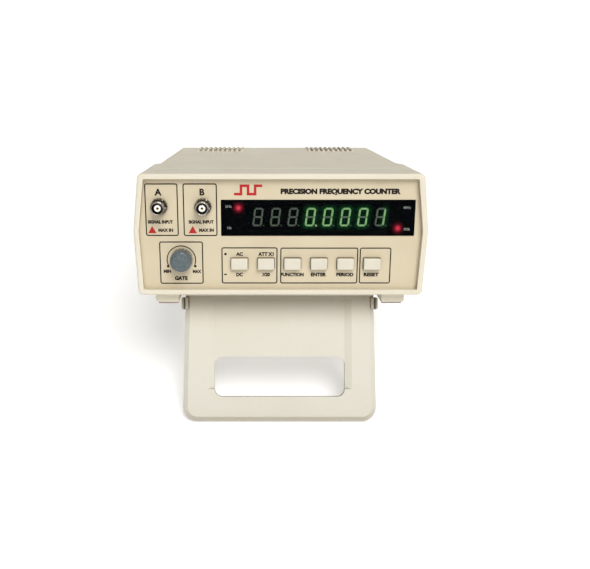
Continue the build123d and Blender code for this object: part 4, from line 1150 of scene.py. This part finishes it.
# ------------------------------------------------------------------ controls and sockets
@dataclass
class GateKnob:
    """Fluted knob with a smooth rounded crown."""

    flutes: int = 18
    flute_depth: float = 0.5
    crown: float = 1.9
    bore: float = 3.05
    recess: float = 6.4
    recess_depth: float = 3.4
    bore_end: float = 2.6
    inset: float = 0.05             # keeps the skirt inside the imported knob's box
    taper: float = 0.35
    dish: float = 0.3               # how far the crown's rim stands behind its middle
    crown_depth: float = 1.5

    def build(self) -> None:
        """Turn the knob and cut its flutes."""
        low, high = LEVEL.box("gate_knob")
        base = (high.x - low.x) / 2 - self.inset
        tip = base - self.taper

        def fluted(radius: float, angle: float) -> float:
            """Cut the flutes into the skirt, and leave the crown and the inside round.

            Args:
                radius: the turned radius.
                angle: where it is round the turn.

            Returns:
                The radius after the cut.
            """
            if radius < tip - 0.2:
                return radius
            return radius - self.flute_depth * (0.5 - 0.5 * math.cos(self.flutes * angle)) ** 3

        shoulder = tip - self.crown
        profile = [(AXIS_HOLE, low.y), (shoulder * 0.5, low.y + 0.08), (shoulder, low.y + self.dish)]
        steps = 6
        for step in range(1, steps + 1):
            angle = math.pi / 2 * step / steps
            depth = low.y + self.dish + self.crown_depth * (1 - math.cos(angle))
            profile.append((shoulder + (self.crown - self.dish) * math.sin(angle), depth))
        profile += [
            (tip, low.y + 2.2), (base, high.y - 0.6), (base - 0.3, high.y), (self.recess, high.y),
            (self.recess, high.y - self.recess_depth), (self.bore, high.y - self.recess_depth),
            (self.bore, low.y + self.bore_end), (AXIS_HOLE, low.y + self.bore_end),
        ]
        knob = Workpiece("gate_knob_fluted")
        knob.lathe((low + high) / 2, profile, self.flutes * 10, fluted)
        knob.place(KNOB_PLASTIC, Body.GATE, "knob_plastic", ["gate_knob"], 40.0)


@dataclass
class ChannelSocket:
    """Bayonet socket: turned barrel with thread and lugs, and a stepped insulator."""

    letter: str
    outer: float = 4.8
    bore: float = 4.05
    floor: float = 3.0
    thread: float = 4.7
    thread_start: float = 0.5
    thread_turns: int = 7
    thread_pitch: float = 0.8
    thread_depth: float = 0.25
    chamfer: float = 0.3
    flange: float = 7.2
    flange_front: float = 6.5
    flange_back: float = 9.0
    insulator: float = 2.4
    contact: float = 0.9
    lug: float = 1.0
    lug_reach: float = 5.6
    lug_set_back: float = 3.2

    def build(self) -> None:
        """Turn the barrel and the insulator of one channel."""
        name = f"socket_{self.letter}"
        low, high = LEVEL.box(f"{name}_barrel")
        centre = LEVEL.centre(f"{name}_insulator")
        tip = low.y
        threads = []
        for turn in range(self.thread_turns):
            depth = self.thread_start + turn * self.thread_pitch
            root = (self.thread - self.thread_depth, depth + self.thread_pitch / 2)
            threads += [(self.thread, depth), root]
        barrel = Workpiece(f"{name}_turned_barrel")
        barrel.lathe(centre, [
            (self.insulator, self.floor), (self.bore, self.floor),
            (self.bore, tip + self.chamfer), (self.bore + 0.2, tip),
            (self.outer - 0.25, tip), (self.outer, tip + self.chamfer),
            (self.outer, tip + 1.2), (self.outer - 0.15, tip + 1.3),
            (self.outer - 0.15, tip + 1.7), (self.outer, tip + 1.8),
            (self.outer, -0.3), (self.outer - 0.4, 0.1),
            *threads, (self.thread, self.flange_front), (self.flange, self.flange_front),
            (self.flange, self.flange_back), (self.thread, self.flange_back), (self.thread, high.y),
            (self.insulator, high.y),
        ], 72, hollow=True)
        for side in (-1, 1):
            self.stud(barrel, centre, side, tip + self.lug_set_back)
        barrel.place(NICKEL, Body.CASE, "nickel_plate", [f"{name}_barrel"])
        front, back = tip + 1.2, LEVEL.box(f"{name}_insulator")[1].y
        insulator = Workpiece(f"{name}_turned_insulator")
        insulator.lathe(centre, [
            (self.contact, front + 0.6), (self.contact + 0.2, front), (self.insulator - 0.15, front),
            (self.insulator, front + 0.2), (self.insulator, back), (self.contact, back),
        ], 40, hollow=True)
        insulator.place(DIELECTRIC, Body.CASE, "white_dielectric", [f"{name}_insulator"])

    def stud(self, work: Workpiece, centre: Vector, side: int, depth: float) -> None:
        """Add one bayonet lug with a rounded end.

        Args:
            work: the barrel that it joins.
            centre: a point on the barrel's axis.
            side: 1 for the right side and -1 for the left.
            depth: where it stands along the barrel.
        """
        rows = (
            (self.lug, self.bore + 0.2), (self.lug, self.lug_reach - 0.25),
            (self.lug - 0.2, self.lug_reach - 0.03), (AXIS_HOLE, self.lug_reach),
        )
        rings = []
        for radius, reach in rows:
            turns = [2 * math.pi * step / 20 for step in range(20)]
            x = centre.x + side * reach
            rings.append([
                Vector((x, depth + radius * math.cos(turn), centre.z + radius * math.sin(turn)))
                for turn in turns
            ])
        work.band(rings)


@dataclass
class SocketFastening:
    """Chamfered hexagon nuts and toothed washers that hold the channel sockets."""

    flats: float = 11.2
    bore: float = 4.72
    teeth: int = 18
    tooth: float = 0.5

    def build(self) -> None:
        """Make both nuts and both washers."""
        nut_low, nut_high = LEVEL.box("socket_nuts")
        washer_low, washer_high = LEVEL.box("socket_washers")
        corner = self.flats / math.sqrt(3)
        rim = (washer_high.z - washer_low.z) / 2 - 0.02
        nuts, washers = Workpiece("socket_nuts_chamfered"), Workpiece("socket_washers_toothed")

        def hexagon(radius: float, angle: float) -> float:
            """Trim a round to the hexagon's flats, with corners left and right."""
            sector = angle % (math.pi / 3) - math.pi / 6
            return min(radius, self.flats / 2 / math.cos(sector)) if radius > 5.2 else radius

        def toothed(radius: float, angle: float) -> float:
            """Notch the washer's rim."""
            notch = self.tooth if math.cos(self.teeth * angle) < -0.2 else 0.0
            return radius - notch if radius > rim - 0.1 else radius

        for letter in "ab":
            centre = LEVEL.centre(f"socket_{letter}_insulator")
            nuts.lathe(centre, [
                (self.bore, nut_high.y), (corner, nut_high.y), (corner, nut_low.y + 0.5),
                (self.flats / 2 - 0.1, nut_low.y), (5.1, nut_low.y), (self.bore, nut_low.y + 0.35),
            ], 72, hexagon, hollow=True)
            washers.lathe(centre, [
                (self.bore, washer_high.y), (rim, washer_high.y), (rim, washer_low.y + 0.1),
                (self.bore, washer_low.y),
            ], self.teeth * 8, toothed, hollow=True)
        # The nuts and washers take the darker nickel, which is painted shade.
        nuts.place(NICKEL_PAINTED_SHADE, Body.CASE, "nickel_plate", ["socket_nuts"], 25.0)
        washers.place(NICKEL_PAINTED_SHADE, Body.CASE, "nickel_plate", ["socket_washers"], 25.0)


# ------------------------------------------------------------------ back and underside
@dataclass
class RearPrint:
    """Printed captions beside the rear fittings, and the moulded marks of the power rocker."""

    film: float = 0.05
    cap: float = 3.0
    row: float = 30.0 + 14.6            # the fittings' axis and the lift above it
    border: tuple[float, float, float, float] = (-18.0, 14.0, 82.0, 50.0)
    corner: float = 2.0
    line: float = 0.7
    mark_at: float = 4.2
    slope: float = math.radians(10)
    rocker_middle: float = 2.6
    rocker_rise: float = 1.4
    rocker_half: float = 7.5

    def build(self) -> None:
        """Print the rear panel and mark the rocker."""
        face = LEVEL.box("rear_panel")[1].y + self.film
        work = Workpiece("rear_print")
        for text, node in (("FUSE", "fuse_cap"), ("POWER", "power_rocker"), ("AC INPUT", "mains_inlet")):
            centre = LEVEL.centre(node)
            work.words(text, centre.x, self.row, self.cap, face, None, 0.035, True)
        left, bottom, right, top = self.border
        outer = rounded_box(left, bottom, right, top, self.corner)
        inner = rounded_box(
            left + self.line, bottom + self.line, right - self.line, top - self.line,
            self.corner - self.line,
        )
        work.frame(outer, inner, face, face - self.film / 2)
        work.place(BLACK_INK, Body.CASE, "rear_plate")
        self.mark_rocker()

    def mark_rocker(self) -> None:
        """Add the on and off marks, laid on the rocker's two slopes."""
        low, high = LEVEL.box("power_rocker")
        pivot = LEVEL.inverse @ Vector(joint_named("power_rock")["pos_m"])
        marks = Workpiece("rocker_marks")
        x = (low.x + high.x) / 2
        proud, sunk = 0.04, -0.1
        marks.frame(spot(x, -self.mark_at, 1.7), spot(x, -self.mark_at, 1.2), proud, sunk)
        stroke = rounded_box(x - 0.25, self.mark_at - 1.7, x + 0.25, self.mark_at + 1.7, 0.1)
        marks.prism(stroke, proud, sunk)
        for vertex in marks.mesh.verts:
            up = vertex.co.z
            out = self.rocker_middle + self.rocker_rise * abs(up) / self.rocker_half + vertex.co.y
            vertex.co.y = pivot.y + out * math.cos(self.slope) - up * math.sin(self.slope)
            vertex.co.z = pivot.z + out * math.sin(self.slope) + up * math.cos(self.slope)
        marks.place(WHITE_INK, Body.ROCKER, "black_moulding")


@dataclass
class ScrewRecesses:
    """Cross-recessed pan heads of the case screws and the board screws."""

    radius: float = 2.8
    height: float = 2.0
    arm: float = 1.7
    blade: float = 0.45
    recess: float = 1.1
    recess_taper: float = 0.55          # size of the recess's floor as a share of its mouth
    shank: float = 1.5

    def build(self) -> None:
        """Make each group of screws, heads down on the underside and heads up on the board."""
        for node, facing in (("case_screws", -1), ("board_screws", 1)):
            low, high = LEVEL.box(node)
            top = high.z if facing > 0 else low.z
            end = low.z if facing > 0 else high.z
            points = [LEVEL.inverse @ vertex.co for vertex in frame["nodes"][node].data.vertices]
            heads = [point for point in points if abs(point.z - top) < 0.1]
            across, along = (low.x + high.x) / 2, (low.y + high.y) / 2
            work = Workpiece(f"{node}_recessed")
            for side in (-1, 1):
                for end_side in (-1, 1):
                    near = [
                        point for point in heads
                        if (point.x - across) * side > 0 and (point.y - along) * end_side > 0
                    ]
                    x = (min(point.x for point in near) + max(point.x for point in near)) / 2
                    y = (min(point.y for point in near) + max(point.y for point in near)) / 2
                    self.screw(work, x, y, top, end, facing)
            work.place(STEEL, Body.CASE, "shaft_steel", [node], 30.0)

    def screw(
        self, work: Workpiece, x: float, y: float, top: float, end: float, facing: int,
    ) -> None:
        """Add one screw: its recess, rounded head and shank, drawn as one skin of rings.

        Args:
            work: the group of screws that it joins.
            x: its axis across the counter.
            y: its axis along the counter.
            top: level of the head's top.
            end: level of the shank's end.
            facing: 1 for a head that looks up and -1 for one that looks down.
        """
        corners = (
            (-self.blade, self.arm), (0.0, self.arm), (self.blade, self.arm), (self.blade, self.blade),
        )
        cross = []
        for quarter in range(4):
            cosine, sine = math.cos(math.pi / 2 * quarter), math.sin(math.pi / 2 * quarter)
            cross += [(out * cosine - across * sine, out * sine + across * cosine) for across, out in corners]

        def circle(radius: float) -> list[Point]:
            """Round ring whose points lie beside the recess's corners.

            Args:
                radius: its radius.

            Returns:
                Its points about the screw's axis.
            """
            return [
                (radius * math.cos(angle), radius * math.sin(angle))
                for angle in (math.atan2(b, a) for a, b in cross)
            ]

        floor = [(a * self.recess_taper, b * self.recess_taper) for a, b in cross]
        rows = (
            (floor, -self.recess), (cross, -0.12),
            (circle(self.radius - 0.5), -0.15), (circle(self.radius - 0.1), -0.6),
            (circle(self.radius), -1.0), (circle(self.radius), -self.height),
            (circle(self.shank), -self.height), (circle(self.shank), -abs(top - end)),
        )
        work.band([[Vector((x + a, y + b, top + facing * drop)) for a, b in ring] for ring, drop in rows])


# ------------------------------------------------------------------ dressing, stage and camera
class Dressing:
    """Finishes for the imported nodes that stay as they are."""

    CRISP = math.radians(28)

    def build(self) -> None:
        """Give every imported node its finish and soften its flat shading."""
        for finish, nodes in NODE_FINISHES.items():
            for node in nodes:
                packed = frame["nodes"][node]
                packed.data.materials.clear()
                packed.data.materials.append(FINISHES.of(finish))
                packed.data.shade_smooth()
                packed.data.set_sharp_from_angle(angle=self.CRISP)
        missing = set(frame["nodes"]) - {node for nodes in NODE_FINISHES.values() for node in nodes}
        if missing:
            raise ValueError(f"no finish for {sorted(missing)}")
        LOG.info("dressed %d packed nodes", len(frame["nodes"]))


@dataclass
class Studio:
    """Pale floor and backdrop, soft key and front light in an even room, and the camera.

    A light is its height and side in degrees from the panel's forward direction, its strength and how
    many degrees wide it is. The eye stands in the level axes.
    """

    floor_size: float = 8.0
    floor_glow: float = 0.45
    paper: tuple[Colour, Colour] = ((0.62, 0.62, 0.62), (0.65, 0.65, 0.65))
    paper_grain: float = 400.0
    backdrop_glow: float = 0.93
    backdrop_reach: float = 0.6         # share of the floor's size
    light_colour: Colour = (1.0, 0.985, 0.96)
    room: float = 0.20
    key: tuple[float, float, float, float] = (43.0, 28.0, 0.82, 34.0)
    fill: tuple[float, float, float, float] = (4.0, 8.0, 0.26, 60.0)
    lens: float = 43.65
    sensor: float = 36.0
    shift: float = 0.0573
    eye: tuple[float, float, float] = (-14.3, -512.7, 144.7)
    pitch: float = math.radians(14.9)

    def build(self) -> None:
        """Set the stage."""
        self.floor()
        self.backdrop()
        self.light("soft_key", *self.key)
        self.light("front_fill", *self.fill)
        self.world()
        self.camera()
        bpy.context.scene.view_settings.view_transform = "Standard"

    def floor(self) -> None:
        """Lay the plain floor, a little lit from within as a light table is."""
        data = bpy.data.meshes.new("floor")
        half = self.floor_size / 2
        corners = [(-half, -half, 0), (half, -half, 0), (half, half, 0), (-half, half, 0)]
        data.from_pydata(corners, [], [(0, 1, 2, 3)])
        floor = bpy.data.objects.new("floor", data)
        bpy.context.scene.collection.objects.link(floor)
        shader = Shader("floor_paper")
        shader.link(shader.ramp(shader.noise(self.paper_grain), *self.paper, 0.3, 0.7), "Base Color")
        shader.set(Roughness=1.0, Specular_IOR_Level=0.0)
        shader.set(Emission_Color=(1.0, 1.0, 1.0), Emission_Strength=self.floor_glow)
        data.materials.append(shader.material)

    def backdrop(self) -> None:
        """Hang a pale dome that is seen behind the floor and neither lights nor shades the counter."""
        mesh = bmesh.new()
        reach = self.floor_size * self.backdrop_reach
        bmesh.ops.create_uvsphere(mesh, u_segments=48, v_segments=24, radius=reach)
        data = bpy.data.meshes.new("backdrop")
        mesh.to_mesh(data)
        mesh.free()
        data.shade_smooth()
        backdrop = bpy.data.objects.new("backdrop", data)
        bpy.context.scene.collection.objects.link(backdrop)
        shader = Shader("backdrop_paper")
        shader.set(Base_Color=(0.0, 0.0, 0.0), Specular_IOR_Level=0.0)
        shader.set(Emission_Color=(1.0, 1.0, 1.0), Emission_Strength=self.backdrop_glow)
        data.materials.append(shader.material)
        backdrop.visible_diffuse = False
        backdrop.visible_glossy = False
        backdrop.visible_shadow = False
        backdrop.visible_transmission = False

    def light(self, name: str, height: float, side: float, strength: float, softness: float) -> None:
        """Add a wide soft light.

        Args:
            name: the light's name.
            height: degrees above the panel's own forward direction.
            side: degrees to the right of it.
            strength: radiance that it gives a white surface facing it.
            softness: degrees across the light, seen from the counter.
        """
        data = bpy.data.lights.new(name, "SUN")
        data.energy = strength * math.pi
        data.angle = math.radians(softness)
        data.color = self.light_colour
        holder = bpy.data.objects.new(name, data)
        rise = math.radians(height) + LEVEL.lean
        turn = math.radians(side)
        forward = math.cos(rise)
        toward = Vector((forward * math.sin(turn), -forward * math.cos(turn), math.sin(rise)))
        holder.rotation_euler = toward.to_track_quat("Z", "Y").to_euler()
        bpy.context.scene.collection.objects.link(holder)

    def world(self) -> None:
        """Paint the even pale room."""
        world = bpy.data.worlds.new("room")
        world.use_nodes = True
        background = world.node_tree.nodes["Background"]
        background.inputs["Color"].default_value = (1, 1, 1, 1)
        background.inputs["Strength"].default_value = self.room
        bpy.context.scene.world = world

    def camera(self) -> None:
        """Stand the camera before the panel, a little above it and to the left."""
        data = bpy.data.cameras.new("camera")
        data.lens = self.lens
        data.sensor_width = self.sensor
        data.shift_x = self.shift
        data.clip_start, data.clip_end = 0.01, 20.0
        camera = bpy.data.objects.new("camera", data)
        tip = Matrix.Rotation(math.pi / 2 - self.pitch - LEVEL.lean, 4, "X")
        camera.matrix_world = Matrix.Translation(LEVEL.matrix @ Vector(self.eye)) @ tip
        bpy.context.scene.collection.objects.link(camera)
        bpy.context.scene.camera = camera


def main() -> None:
    """Build the counter's finishes and fine pieces in order."""
    logging.basicConfig(level=logging.INFO, format="%(message)s")
    Studio().build()
    Dressing().build()
    PanelPrint().build()
    Display().build()
    GateKnob().build()
    for letter in "ab":
        ChannelSocket(letter).build()
    SocketFastening().build()
    RearPrint().build()
    ScrewRecesses().build()


if __name__ == "__main__":
    main()
